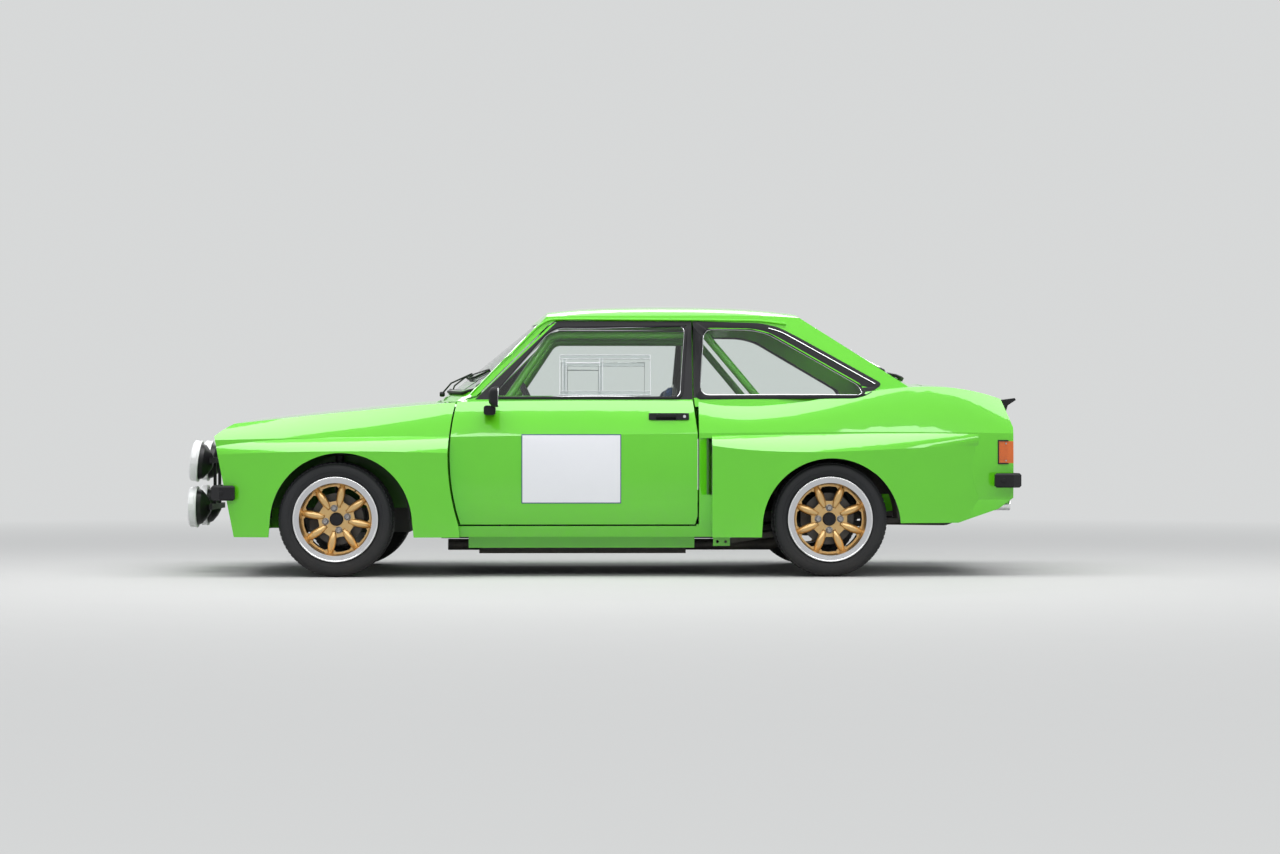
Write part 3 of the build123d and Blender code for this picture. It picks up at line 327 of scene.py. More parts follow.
def grain_group():
    """Fine grain of a moulded or worn surface: a height and a roughness that vary."""
    tree = bpy.data.node_groups.get("Surface Grain")
    if tree:
        return tree
    tree = bpy.data.node_groups.new("Surface Grain", "ShaderNodeTree")
    group_socket(tree, "Vector", "Vector")
    group_socket(tree, "Scale", "Float", value=400.0)
    group_socket(tree, "Roughness", "Float", value=0.4)
    group_socket(tree, "Spread", "Float", value=0.1)
    group_socket(tree, "Height", "Float", "OUTPUT")
    group_socket(tree, "Surface Roughness", "Float", "OUTPUT")
    given = tree.nodes.new("NodeGroupInput")
    out = tree.nodes.new("NodeGroupOutput")
    fine = noise_node(tree, given.outputs["Vector"], given.outputs["Scale"], 2.0)
    broad = noise_node(tree, given.outputs["Vector"], 7.0, 4.0)
    spread = math_node(tree, "SUBTRACT", broad, 0.5)
    spread = math_node(tree, "MULTIPLY", spread, given.outputs["Spread"])
    rough = math_node(tree, "ADD", given.outputs["Roughness"], spread, clamp=True)
    tree.links.new(fine, out.inputs["Height"])
    tree.links.new(rough, out.inputs["Surface Roughness"])
    return tree


def place_group(material, tree, vector, **values):
    """A node group in a material; each value is named after its socket."""
    placed = material.node_tree.nodes.new("ShaderNodeGroup")
    placed.node_tree = tree
    material.node_tree.links.new(vector, placed.inputs["Vector"])
    for name, value in values.items():
        placed.inputs[name.replace("_", " ").title()].default_value = value
    return placed


def mix_colour(tree, mask, first, second):
    """A mix of two colours by a mask; each is a number, a colour or a socket."""
    mix = tree.nodes.new("ShaderNodeMix")
    mix.data_type = "RGBA"
    for socket, value in ((mix.inputs["Factor"], mask), (mix.inputs["A"], first), (mix.inputs["B"], second)):
        if isinstance(value, (int, float)):
            socket.default_value = value
        elif isinstance(value, (tuple, list)):
            socket.default_value = (*value[:3], 1)
        else:
            tree.links.new(value, socket)
    return mix.outputs["Result"]


def blank_material(name):
    """A new material, its tree, its Principled node and the object coordinates."""
    material = bpy.data.materials.new(name)
    material.use_nodes = True
    tree = material.node_tree
    shader = tree.nodes["Principled BSDF"]
    place = tree.nodes.new("ShaderNodeTexCoord").outputs["Object"]
    return material, tree, shader, place


def finish(
    name, colour, rough, metallic=0.0, coat=0.0, coat_rough=0.05, grain=400.0, bump=0.05, spread=0.1,
    shade=0.12, dust=0.25, dust_height=0.5, specular=0.5, coat_ior=1.5,
):
    """A painted, moulded or metal surface with grain, cloudy shade and road dust."""
    material, tree, shader, place = blank_material(name)
    colour = tuple(colour)
    cloud = noise_node(tree, place, 3.0, 5.0)
    base = mix_colour(tree, cloud, tuple(value * (1 - shade) for value in colour), colour)
    dusty = place_group(material, road_dust_group(), place, height=dust_height, amount=dust)
    base = mix_colour(tree, dusty.outputs["Mask"], base, ROAD_DUST)
    tree.links.new(base, shader.inputs["Base Color"])
    grained = place_group(material, grain_group(), place, scale=grain, roughness=rough, spread=spread)
    dull = math_node(tree, "MULTIPLY", dusty.outputs["Mask"], 0.4)
    dull = math_node(tree, "ADD", grained.outputs["Surface Roughness"], dull, clamp=True)
    tree.links.new(dull, shader.inputs["Roughness"])
    bumped(tree, shader, grained.outputs["Height"], bump)
    for socket, value in (
        ("Metallic", metallic), ("Coat Weight", coat), ("Coat Roughness", coat_rough), ("Coat IOR", coat_ior),
        ("Specular IOR Level", specular),
    ):
        shader.inputs[socket].default_value = value
    return material


def bumped(tree, shader, height, strength, distance=0.001):
    """Relief from a height that varies over the surface."""
    bump = tree.nodes.new("ShaderNodeBump")
    bump.inputs["Strength"].default_value = strength
    bump.inputs["Distance"].default_value = distance
    tree.links.new(height, bump.inputs["Height"])
    tree.links.new(bump.outputs["Normal"], shader.inputs["Normal"])


def mask_between(tree, value, low, high, soft=0.0008):
    """1 where a value lies between two limits."""
    rise = math_node(tree, "SUBTRACT", value, low)
    rise = math_node(tree, "DIVIDE", rise, soft, clamp=True)
    fall = math_node(tree, "SUBTRACT", high, value)
    fall = math_node(tree, "DIVIDE", fall, soft, clamp=True)
    return math_node(tree, "MULTIPLY", rise, fall)


def both(tree, first, second):
    """1 where two masks are 1."""
    return math_node(tree, "MULTIPLY", first, second)


def overlay(material, mask, colour, rough, coat=None, metallic=None):
    """Another finish where a mask is 1."""
    tree = material.node_tree
    shader = tree.nodes["Principled BSDF"]
    base = shader.inputs["Base Color"]
    tree.links.new(mix_colour(tree, mask, base.links[0].from_socket, colour), base)
    for name, value in (("Roughness", rough), ("Coat Weight", coat), ("Metallic", metallic)):
        if value is None:
            continue
        socket = shader.inputs[name]
        before = socket.links[0].from_socket if socket.links else socket.default_value
        mix = tree.nodes.new("ShaderNodeMix")
        tree.links.new(mask, mix.inputs["Factor"])
        mix.inputs["B"].default_value = value
        if isinstance(before, float):
            mix.inputs["A"].default_value = before
        else:
            tree.links.new(before, mix.inputs["A"])
        tree.links.new(mix.outputs["Result"], socket)


def object_axes(tree):
    """Object coordinates, split into X, Y and Z."""
    place = tree.nodes.new("ShaderNodeTexCoord").outputs["Object"]
    split = tree.nodes.new("ShaderNodeSeparateXYZ")
    tree.links.new(place, split.inputs[0])
    return split.outputs


def side_mask(tree, along, up):
    """1 inside a rectangle of the side view, given by its limits along X and Z."""
    axes = object_axes(tree)
    return both(tree, mask_between(tree, axes["X"], *along), mask_between(tree, axes["Z"], *up))


def length_of(tree, first, second):
    """Length of a line from its two shares."""
    square = math_node(
        tree, "ADD", math_node(tree, "POWER", first, 2.0), math_node(tree, "POWER", second, 2.0)
    )
    return math_node(tree, "SQRT", square)


def from_axis(tree, centre_x, centre_z):
    """Distance from an axis that runs across the car."""
    axes = object_axes(tree)
    along = math_node(tree, "SUBTRACT", axes["X"], centre_x)
    return length_of(tree, along, math_node(tree, "SUBTRACT", axes["Z"], centre_z))


def clear_glass(name, colour=(1, 1, 1), rough=0.0, smear=0.03):
    """Clear glass with faint streaks of roughness."""
    material, tree, shader, place = blank_material(name)
    shader.inputs["Base Color"].default_value = (*colour, 1)
    shader.inputs["Transmission Weight"].default_value = 1.0
    shader.inputs["IOR"].default_value = 1.45
    streak = noise_node(tree, place, 14.0, 6.0, 0.7)
    streak = math_node(tree, "SUBTRACT", streak, 0.5, clamp=True)
    streak = math_node(tree, "MULTIPLY", streak, smear)
    streak = math_node(tree, "ADD", streak, rough, clamp=True)
    tree.links.new(streak, shader.inputs["Roughness"])
    return material


# Finishes of the car

palette = {}


def build_palette():
    """Every finish of the car, by its plain name."""
    tint = colours()
    palette["paint"] = body_paint("Green Paint")
    palette["shaded_inner_paint"] = shaded_inner_paint("Shaded Green Cabin Paint")
    for key, (name, colour, rough, extra) in PLAIN_FINISHES.items():
        palette[key] = finish(name, colour, rough, **extra)
    palette["plate"] = plate_finish()
    palette["glass"] = clear_glass("Window Glass", (0.93, 0.97, 0.95))
    palette["slider"] = clear_glass("Slider Pane", (0.9, 0.92, 0.93), rough=0.04, smear=0.15)
    palette["gold"] = gold_alloy()
    palette["cloth"] = seat_cloth("Seat Cloth", tint.seats)
    palette["harness"] = seat_cloth("Harness Webbing", (0.01, 0.06, 0.25), weave=700)


def body_paint(name):
    """Green body paint under a glossy coat."""
    return finish(
        name, colours().paint, 0.34, coat=1.0, coat_rough=0.03, grain=900, bump=0.012, spread=0.05,
        shade=0.07, dust=0.10, dust_height=0.45, specular=0.3, coat_ior=1.65,
    )


def shaded_inner_paint(name):
    """The green inside the car: duller, and darkened as painted shade."""
    # Painted shade: the body green times 0.8; the weaker coat and higher roughness are the duller finish
    return finish(name, [value * 0.8 for value in colours().paint], 0.4, coat=0.4, grain=700, dust=0.2)


def gold_alloy():
    """Gold paint of the wheel centres."""
    return finish(
        "Gold Alloy", colours().wheels, 0.30, metallic=0.85, coat=0.5, coat_rough=0.12, grain=500, bump=0.06,
        dust=0.15,
    )


def plate_finish():
    """White plates; the ones on the doors have a dark line round them."""
    made = finish(
        "Door Plate", colours().plates, 0.30, coat=0.2, grain=300, bump=0.01, shade=0.03, dust=0.05
    )
    tree = made.node_tree
    border = sizes().plate_border
    inside = side_mask(tree, *((low + border, high - border) for low, high in zip(PLATE_LOW, PLATE_HIGH)))
    rear = math_node(tree, "GREATER_THAN", object_axes(tree)["X"], 1.0)
    line = math_node(tree, "SUBTRACT", 1.0, math_node(tree, "MAXIMUM", inside, rear))
    overlay(made, line, (0.025, 0.03, 0.16), 0.35)
    return made


def shaded_arch_paint(name, centre_x, centre_z, radius, edge):
    """Body paint with near-black painted shade inside a wheel arch."""
    made = body_paint(name)
    tree = made.node_tree
    near = mask_between(tree, from_axis(tree, centre_x, centre_z), 0.0, radius)
    across = math_node(tree, "ABSOLUTE", object_axes(tree)["Y"])
    # Painted shade: the inner faces of the arch are made near-black
    overlay(made, both(tree, near, mask_between(tree, across, 0.0, edge)), ARCH_SHADE, 0.7, coat=0.0)
    return made


def side_paint():
    """Body sides: near-black painted shade inside the wheel arches, and a black post between the side
    windows.
    """
    made = shaded_arch_paint("Side Paint", 1.132, 0.240, 0.3395, 0.842)
    post = side_mask(made.node_tree, (0.435, 0.500), (0.874, 1.262))
    overlay(made, post, (0.010, 0.010, 0.012), 0.5, coat=0.0)
    return made


def bay_paint():
    """Engine bay: the darker cabin green inside, with near-black painted shade on the wheel housings."""
    made = shaded_inner_paint("Engine Bay Paint")
    tree = made.node_tree
    axes = object_axes(tree)
    outside = mask_between(tree, math_node(tree, "ABSOLUTE", axes["Y"]), 0.4355, 1.0)
    low = mask_between(tree, axes["Z"], 0.0, 0.66)
    # Painted shade: the low outer faces of the wheel housings are made near-black
    overlay(made, both(tree, outside, low), (0.012, 0.013, 0.013), 0.75, coat=0.0)
    return made


def door_paint():
    """Doors: body paint with a black window frame and a black handle."""
    made = body_paint("Door Paint")
    tree = made.node_tree
    axes = object_axes(tree)
    above = mask_between(tree, axes["Z"], BELT_LINE, 2.0)
    ahead = math_node(tree, "SUBTRACT", axes["Z"], math_node(tree, "MULTIPLY", axes["X"], PILLAR_SLOPE))
    behind = mask_between(tree, ahead, -3.0, PILLAR_EDGE)
    overlay(made, both(tree, above, behind), BLACK, 0.55, coat=0.0)
    overlay(made, side_mask(tree, (0.243, 0.441), (0.7645, 0.7995)), BLACK, 0.45, coat=0.0)
    return made


def sealed_beam():
    """Headlamps: silver behind upright flutes."""
    made = finish(
        "Sealed Beam", (0.72, 0.74, 0.77), 0.16, metallic=1.0, coat=1.0, coat_rough=0.02, bump=0.0, dust=0.05
    )
    tree = made.node_tree
    flute = math_node(tree, "SINE", math_node(tree, "MULTIPLY", object_axes(tree)["Y"], 620.0))
    bumped(tree, tree.nodes["Principled BSDF"], flute, 0.7)
    return made


def lamp_bowls():
    """Driving lamps: black bowls with white covers in front."""
    made = finish(
        "Lamp Bowls", (0.010, 0.010, 0.012), 0.42, coat=0.12, dust=0.05, dust_height=0.8, specular=0.35
    )
    tree = made.node_tree
    axes = object_axes(tree)
    for _, height, lean in SPOT_LEVELS:
        forward = math_node(tree, "SUBTRACT", axes["X"], SPOT_FRONT + SPOT_RADIUS * math.sin(lean))
        upward = math_node(tree, "SUBTRACT", axes["Z"], height)
        depth = math_node(
            tree, "SUBTRACT", math_node(tree, "MULTIPLY", forward, math.cos(lean)),
            math_node(tree, "MULTIPLY", upward, math.sin(lean)),
        )
        level = mask_between(tree, upward, -0.115, 0.115)
        cover = both(tree, level, mask_between(tree, depth, -1.0, SPOT_COVER))
        overlay(made, cover, (0.80, 0.80, 0.80), 0.34, coat=0.3)
    return made


def rear_lens():
    """Rear lamps: amber outside, then red, then white."""
    made = finish(
        "Rear Lens", (0.72, 0.14, 0.008), 0.12, coat=0.8, grain=200, bump=0.2, shade=0.2, dust=0.02
    )
    tree = made.node_tree
    across = math_node(tree, "ABSOLUTE", object_axes(tree)["Y"])
    overlay(made, mask_between(tree, across, 0.545, 0.665), (0.55, 0.006, 0.004), 0.12)
    overlay(made, mask_between(tree, across, 0.0, 0.545), (0.75, 0.75, 0.72), 0.12)
    return made


def wheel_finish(centre_x):
    """Gold wheel with a polished lip; behind the spokes, an iron disc darkened as painted shade and a barrel
    made near-black as painted shade.
    """
    made = gold_alloy()
    tree = made.node_tree
    radius = from_axis(tree, centre_x, AXLE_HEIGHT)
    inboard = math_node(tree, "ABSOLUTE", object_axes(tree)["Y"])
    overlay(made, mask_between(tree, radius, 0.1765, 0.3), (0.66, 0.66, 0.68), 0.12, coat=0.0, metallic=1.0)
    # Painted shade: the brake disc behind the spokes is made darker than bare iron
    disc = both(tree, mask_between(tree, radius, 0.0, 0.13), mask_between(tree, inboard, 0.0, 0.69))
    overlay(made, disc, (0.11, 0.105, 0.10), 0.42, coat=0.0, metallic=1.0)
    # Painted shade: the barrel behind the spokes is made near-black
    barrel = both(tree, mask_between(tree, radius, 0.13, 0.3), mask_between(tree, inboard, 0.0, 0.725))
    overlay(made, barrel, (0.025, 0.023, 0.02), 0.6, coat=0.0, metallic=0.6)
    return made


def seat_cloth(name, colour, weave=420):
    """Woven cloth: two crossed waves, with sheen."""
    material, tree, shader, place = blank_material(name)
    colour = tuple(colour)
    heights = []
    for direction in ("X", "Z"):
        wave = tree.nodes.new("ShaderNodeTexWave")
        wave.bands_direction = direction
        wave.inputs["Scale"].default_value = weave
        wave.inputs["Distortion"].default_value = 0.6
        tree.links.new(place, wave.inputs["Vector"])
        heights.append(wave.outputs["Fac"])
    height = math_node(tree, "MAXIMUM", *heights)
    cloud = noise_node(tree, place, 12.0, 4.0)
    base = mix_colour(tree, cloud, [v * 0.7 for v in colour], colour)
    thread = math_node(tree, "MULTIPLY", height, 0.35)
    base = mix_colour(tree, thread, base, [min(1, v * 2.2 + 0.01) for v in colour])
    tree.links.new(base, shader.inputs["Base Color"])
    shader.inputs["Roughness"].default_value = 0.9
    shader.inputs["Sheen Weight"].default_value = 0.3
    bumped(tree, shader, height, 0.4, 0.0008)
    return material


def dress(name, material):
    """Gives a CAD node its finish."""
    mesh = node[name].data
    mesh.materials.clear()
    mesh.materials.append(material)


# Mesh helpers


def piece(name, part, material, body="body", smooth=True, angle=35):
    """A new piece at the origin that rides on a body, its faces turned outwards."""
    verts, faces = part
    mesh = bpy.data.meshes.new(name)
    mesh.from_pydata([tuple(v) for v in verts], [], faces)
    built = bmesh.new()
    built.from_mesh(mesh)
    bmesh.ops.remove_doubles(built, verts=built.verts, dist=1e-6)
    bmesh.ops.recalc_face_normals(built, faces=built.faces)
    built.to_mesh(mesh)
    built.free()
    made = bpy.data.objects.new(name, mesh)
    bpy.context.scene.collection.objects.link(made)
    mesh.materials.append(palette[material])
    if smooth:
        soften(made, angle)
    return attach(made, body)


def soften(made, angle=35):
    """Smooth shading apart from edges sharper than an angle."""
    mesh = made.data
    mesh.polygons.foreach_set("use_smooth", [True] * len(mesh.polygons))
    built = bmesh.new()
    built.from_mesh(mesh)
    limit = math.radians(angle)
    for edge in built.edges:
        if len(edge.link_faces) == 2 and edge.calc_face_angle(0) > limit:
            edge.smooth = False
    built.to_mesh(mesh)
    built.free()


def merge(*parts):
    """Joins several (verts, faces) pairs."""
    verts, faces = [], []
    for part_verts, part_faces in parts:
        start = len(verts)
        verts += part_verts
        faces += [[start + i for i in face] for face in part_faces]
    return verts, faces


def flipped(part):
    """The mirror image of a left piece, on the right."""
    verts, faces = part
    return [Vector((v[0], -v[1], v[2])) for v in verts], [list(reversed(face)) for face in faces]


def rounded(points, radius, steps=5, closed=True):
    """An outline with its corners rounded."""
    points = [Vector(p) for p in points]
    count = len(points)
    result = []
    for i, point in enumerate(points):
        if not closed and i in (0, count - 1):
            result.append(point)
            continue
        before = points[i - 1] - point
        after = points[(i + 1) % count] - point
        reach = min(radius, before.length * 0.45, after.length * 0.45)
        start = point + before.normalized() * reach
        end = point + after.normalized() * reach
        for k in range(steps + 1):
            share = k / steps
            result.append(start.lerp(point, share).lerp(point.lerp(end, share), share))
    return result


def divided(points, length, closed=True):
    """More points along long straight runs."""
    result = []
    count = len(points)
    for i in range(count if closed else count - 1):
        a, b = Vector(points[i]), Vector(points[(i + 1) % count])
        parts = max(1, int((b - a).length / length))
        result += [a.lerp(b, k / parts) for k in range(parts)]
    if not closed:
        result.append(Vector(points[-1]))
    return result


def skin(names):
    """A search tree over the surfaces of some CAD nodes."""
    verts, faces = [], []
    for name in names:
        start = len(verts)
        mesh = node[name].data
        verts += [v.co.copy() for v in mesh.vertices]
        faces += [[start + i for i in polygon.vertices] for polygon in mesh.polygons]
    return BVHTree.FromPolygons(verts, faces)


def on_skin(tree, start, direction):
    """Where a line from a point meets a surface, and the outward normal there."""
    place, normal, _, _ = tree.ray_cast(Vector(start), Vector(direction))
    if place is None:
        return None, None
    if normal.dot(Vector(direction)) > 0:
        normal = -normal
    return place, normal


def wrapped(count, width, closed=True):
    """Faces of a skin over rows of points, each row a closed outline."""
    faces = []
    for i in range(count if closed else count - 1):
        j = (i + 1) % count
        for k in range(width):
            n = (k + 1) % width
            faces.append([i * width + k, i * width + n, j * width + n, j * width + k])
    return faces


def end_caps(count, width):
    """Faces that close the two ends of an open skin."""
    return [list(range(width)), [(count - 1) * width + k for k in reversed(range(width))]]


def profile_sweep(points, normals, profile, closed=True):
    """Sweeps a small profile of (across, up) pairs along points, up being each point's normal."""
    verts = []
    count, width = len(points), len(profile)
    for i, (point, normal) in enumerate(zip(points, normals)):
        if closed:
            tangent = points[(i + 1) % count] - points[i - 1]
        else:
            tangent = points[min(i + 1, count - 1)] - points[max(i - 1, 0)]
        across = tangent.cross(normal).normalized()
        up = across.cross(tangent).normalized()
        verts += [point + across * a + up * b for a, b in profile]
    faces = wrapped(count, width, closed)
    return verts, faces if closed else faces + end_caps(count, width)


def turns(count):
    """Equal steps round a circle."""
    return [2 * math.pi * k / count for k in range(count)]


def circle_profile(radius, sides=8):
    """Points round a circle."""
    return [(radius * math.cos(turn), radius * math.sin(turn)) for turn in turns(sides)]


def flat_bar(half, thick):
    """The profile of a flat strip."""
    return [(-half, -thick), (-half, thick), (half, thick), (half, -thick)]


def tube(points, radius, sides=8, closed=False):
    """A round tube through points."""
    points = [Vector(p) for p in points]
    normals = []
    up = Vector((0, 0, 1))
    for i in range(len(points)):
        tangent = points[min(i + 1, len(points) - 1)] - points[max(i - 1, 0)]
        if abs(tangent.normalized().dot(up)) > 0.95:
            up = Vector((1, 0, 0))
        normals.append(up)
    return profile_sweep(points, normals, circle_profile(radius, sides), closed)


def turned(profile, centre, axis="Y", segments=64, way=1):
    """A solid turned round an axis: (along, radius) pairs, closed at the axis where the radius is 0."""
    verts = []
    for angle in turns(segments):
        for along, radius in profile:
            a, b = radius * math.cos(angle), radius * math.sin(angle)
            offset = (a, way * along, b) if axis == "Y" else (way * along, a, b)
            verts.append(Vector([c + o for c, o in zip(centre, offset)]))
    return verts, wrapped(segments, len(profile))


def turned_x(profile, centre=(0, 0, 0), segments=32):
    """A solid turned round an axis that runs along the car."""
    return turned(profile, centre, axis="X", segments=segments)


def brick(low, high):
    """A block between two corners."""
    (x0, y0, z0), (x1, y1, z1) = low, high
    verts = [Vector((x, y, z)) for x in (x0, x1) for y in (y0, y1) for z in (z0, z1)]
    faces = [[0, 1, 3, 2], [4, 6, 7, 5], [0, 4, 5, 1], [2, 3, 7, 6], [0, 2, 6, 4], [1, 5, 7, 3]]
    return verts, faces


def bevelled(made, width, segments=2):
    """Rounds the edges of a piece for good."""
    built = bmesh.new()
    built.from_mesh(made.data)
    bmesh.ops.bevel(
        built, geom=built.edges[:], offset=width, segments=segments, profile=0.5, affect="EDGES",
        clamp_overlap=True,
    )
    bmesh.ops.recalc_face_normals(built, faces=built.faces)
    built.to_mesh(made.data)
    built.free()
    soften(made)
    return made


# Geometry Nodes


def pattern_tree(name, *sockets):
    """A new tree for a repeated piece, with the sockets that every pattern has and its own."""
    tree = bpy.data.node_groups.new(name, "GeometryNodeTree")
    group_socket(tree, "Piece", "Geometry")
    group_socket(tree, "Count", "Int", value=8)
    for socket, kind in sockets:
        group_socket(tree, socket, kind)
    group_socket(tree, "Finish", "Material")
    group_socket(tree, "Result", "Geometry", "OUTPUT")
    return tree, tree.nodes.new("NodeGroupInput").outputs


def copies_on(tree, given, points, spin=None):
    """Puts the piece on each point, makes the copies real and gives them their finish."""
    nodes, links = tree.nodes, tree.links
    copies = nodes.new("GeometryNodeInstanceOnPoints")
    links.new(points, copies.inputs["Points"])
    links.new(given["Piece"], copies.inputs["Instance"])
    if spin is not None:
        links.new(spin, copies.inputs["Rotation"])
    real = nodes.new("GeometryNodeRealizeInstances")
    links.new(copies.outputs[0], real.inputs[0])
    coat = nodes.new("GeometryNodeSetMaterial")
    links.new(real.outputs[0], coat.inputs["Geometry"])
    links.new(given["Finish"], coat.inputs["Material"])
    out = nodes.new("NodeGroupOutput")
    links.new(coat.outputs[0], out.inputs["Result"])


def ring_tree():
    """Repeats a piece round an axis along Y."""
    tree = bpy.data.node_groups.get("Ring of Pieces")
    if tree:
        return tree
    tree, given = pattern_tree("Ring of Pieces", ("Centre", "Vector"), ("Start", "Float"))
    nodes, links = tree.nodes, tree.links
    points = nodes.new("GeometryNodePoints")
    links.new(given["Count"], points.inputs["Count"])
    links.new(given["Centre"], points.inputs["Position"])
    turn = math_node(tree, "DIVIDE", nodes.new("GeometryNodeInputIndex").outputs[0], given["Count"])
    turn = math_node(tree, "MULTIPLY_ADD", turn, 2 * math.pi, given["Start"])
    spin = nodes.new("ShaderNodeCombineXYZ")
    links.new(turn, spin.inputs["Y"])
    copies_on(tree, given, points.outputs[0], spin.outputs[0])
    return tree


def row_tree():
    """Repeats a piece along a straight line."""
    tree = bpy.data.node_groups.get("Row of Pieces")
    if tree:
        return tree
    tree, given = pattern_tree("Row of Pieces", ("Start", "Vector"), ("Step", "Vector"))
    line = tree.nodes.new("GeometryNodeMeshLine")
    for socket, name in (("Count", "Count"), ("Start", "Start Location"), ("Step", "Offset")):
        tree.links.new(given[socket], line.inputs[name])
    copies_on(tree, given, line.outputs[0])
    return tree


def plain_normals(mesh):
    """Turns every face of a mesh outwards."""
    built = bmesh.new()
    built.from_mesh(mesh)
    bmesh.ops.recalc_face_normals(built, faces=built.faces)
    built.to_mesh(mesh)
    built.free()


def repeated(name, part, tree, body, material, smooth=True, **inputs):
    """One plain mesh of a repeated piece, made by a Geometry Nodes tree."""
    coat = palette[material]
    verts, faces = part
    mesh = bpy.data.meshes.new(name + " single")
    mesh.from_pydata([tuple(v) for v in verts], [], faces)
    holder = bpy.data.objects.new(name + " single", mesh)
    bpy.context.scene.collection.objects.link(holder)
    modifier = holder.modifiers.new("Repeat", "NODES")
    modifier.node_group = tree
    keys = {item.name: item.identifier for item in tree.interface.items_tree if item.in_out == "INPUT"}
    for key, value in inputs.items():
        modifier[keys[key.title()]] = value
    modifier[keys["Finish"]] = coat
    bpy.context.view_layer.update()
    graph = bpy.context.evaluated_depsgraph_get()
    result = bpy.data.meshes.new_from_object(holder.evaluated_get(graph))
    result.name = name
    bpy.data.objects.remove(holder)
    plain_normals(result)
    result.materials.clear()
    result.materials.append(coat)
    made = bpy.data.objects.new(name, result)
    bpy.context.scene.collection.objects.link(made)
    if smooth:
        soften(made)
    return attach(made, body)


# The studio


def seen_by_rays(tree):
    """1 for what the camera, a mirror or glass shows, 0 for soft light."""
    ray = tree.nodes.new("ShaderNodeLightPath").outputs
    through = math_node(tree, "MAXIMUM", ray["Is Glossy Ray"], ray["Is Transmission Ray"])
    return math_node(tree, "MAXIMUM", ray["Is Camera Ray"], through)


def studio_floor():
    """Pale floor that fades into the background far from the car."""
    made = finish("Studio Floor", colours().floor, 0.85, shade=0.03, bump=0.02, dust=0, specular=0.2)
    tree = made.node_tree
    axes = object_axes(tree)
    away = math_node(tree, "SUBTRACT", length_of(tree, axes["X"], axes["Y"]), FADE_START)
    fade = math_node(tree, "POWER", math_node(tree, "DIVIDE", away, FADE_LENGTH, clamp=True), 0.7)
    glow = tree.nodes.new("ShaderNodeEmission")
    glow.inputs["Color"].default_value = (*BACKGROUND, 1)
    choice = tree.nodes.new("ShaderNodeMixShader")
    tree.links.new(both(tree, fade, seen_by_rays(tree)), choice.inputs[0])
    tree.links.new(tree.nodes["Principled BSDF"].outputs[0], choice.inputs[1])
    tree.links.new(glow.outputs[0], choice.inputs[2])
    out = next(node for node in tree.nodes if node.type == "OUTPUT_MATERIAL")
    tree.links.new(choice.outputs[0], out.inputs["Surface"])
    return made


def lay_floor(scene):
    """The studio floor, a wide flat square under the car."""
    mesh = bpy.data.meshes.new("Studio Floor")
    corners = [(x * FLOOR_REACH, y * FLOOR_REACH, 0) for x, y in ((-1, -1), (1, -1), (1, 1), (-1, 1))]
    mesh.from_pydata(corners, [], [(0, 1, 2, 3)])
    mesh.materials.append(studio_floor())
    floor = bpy.data.objects.new("Studio Floor", mesh)
    scene.collection.objects.link(floor)


def hang_lamps(scene):
    """Large soft lamps that the camera doesn't see."""
    for name, place, turn, size, share in STUDIO_LAMPS:
        lamp = bpy.data.lights.new(name, "AREA")
        lamp.shape = "RECTANGLE"
        lamp.size, lamp.size_y = size
        lamp.energy = sizes().lamp_power * share
        holder = bpy.data.objects.new(name, lamp)
        holder.location = place
        holder.rotation_euler = [math.radians(angle) for angle in turn]
        holder.visible_camera = False
        scene.collection.objects.link(holder)


def studio_world():
    """Soft light from all round, with the pale background for what the camera, a mirror or glass shows."""
    world = bpy.data.worlds.new("Studio World")
    world.use_nodes = True
    tree = world.node_tree
    tree.nodes.clear()
    choice = tree.nodes.new("ShaderNodeMixShader")
    tree.links.new(seen_by_rays(tree), choice.inputs[0])
    for slot, colour, strength in ((1, SOFT_LIGHT, SOFT_STRENGTH), (2, BACKGROUND, 1.0)):
        light = tree.nodes.new("ShaderNodeBackground")
        light.inputs["Color"].default_value = (*colour, 1)
        light.inputs["Strength"].default_value = strength
        tree.links.new(light.outputs[0], choice.inputs[slot])
    out = tree.nodes.new("ShaderNodeOutputWorld")
    tree.links.new(choice.outputs[0], out.inputs["Surface"])
    return world


def stand_camera(scene):
    """The camera with the photograph's lens and viewing angle."""
    camera = bpy.data.cameras.new("Camera")
    camera.sensor_width = SENSOR_WIDTH
    camera.lens = SENSOR_WIDTH * LENS_PIXELS / IMAGE_WIDTH
    camera.clip_end = 200
    holder = bpy.data.objects.new("Camera", camera)
    holder.location = CAMERA_PLACE
    holder.rotation_euler = [math.radians(angle) for angle in CAMERA_TURN]
    scene.collection.objects.link(holder)
    scene.camera = holder


class SALOON_OT_stage(bpy.types.Operator):
    """Floor, studio lamps and the camera at the photograph's viewing angle"""

    bl_idname = "saloon.stage"
    bl_label = "Stage"

    def execute(self, context):
        scene = context.scene
        scene.view_settings.view_transform = "Standard"
        build_palette()
        lay_floor(scene)
        hang_lamps(scene)
        scene.world = studio_world()
        stand_camera(scene)
        return {"FINISHED"}


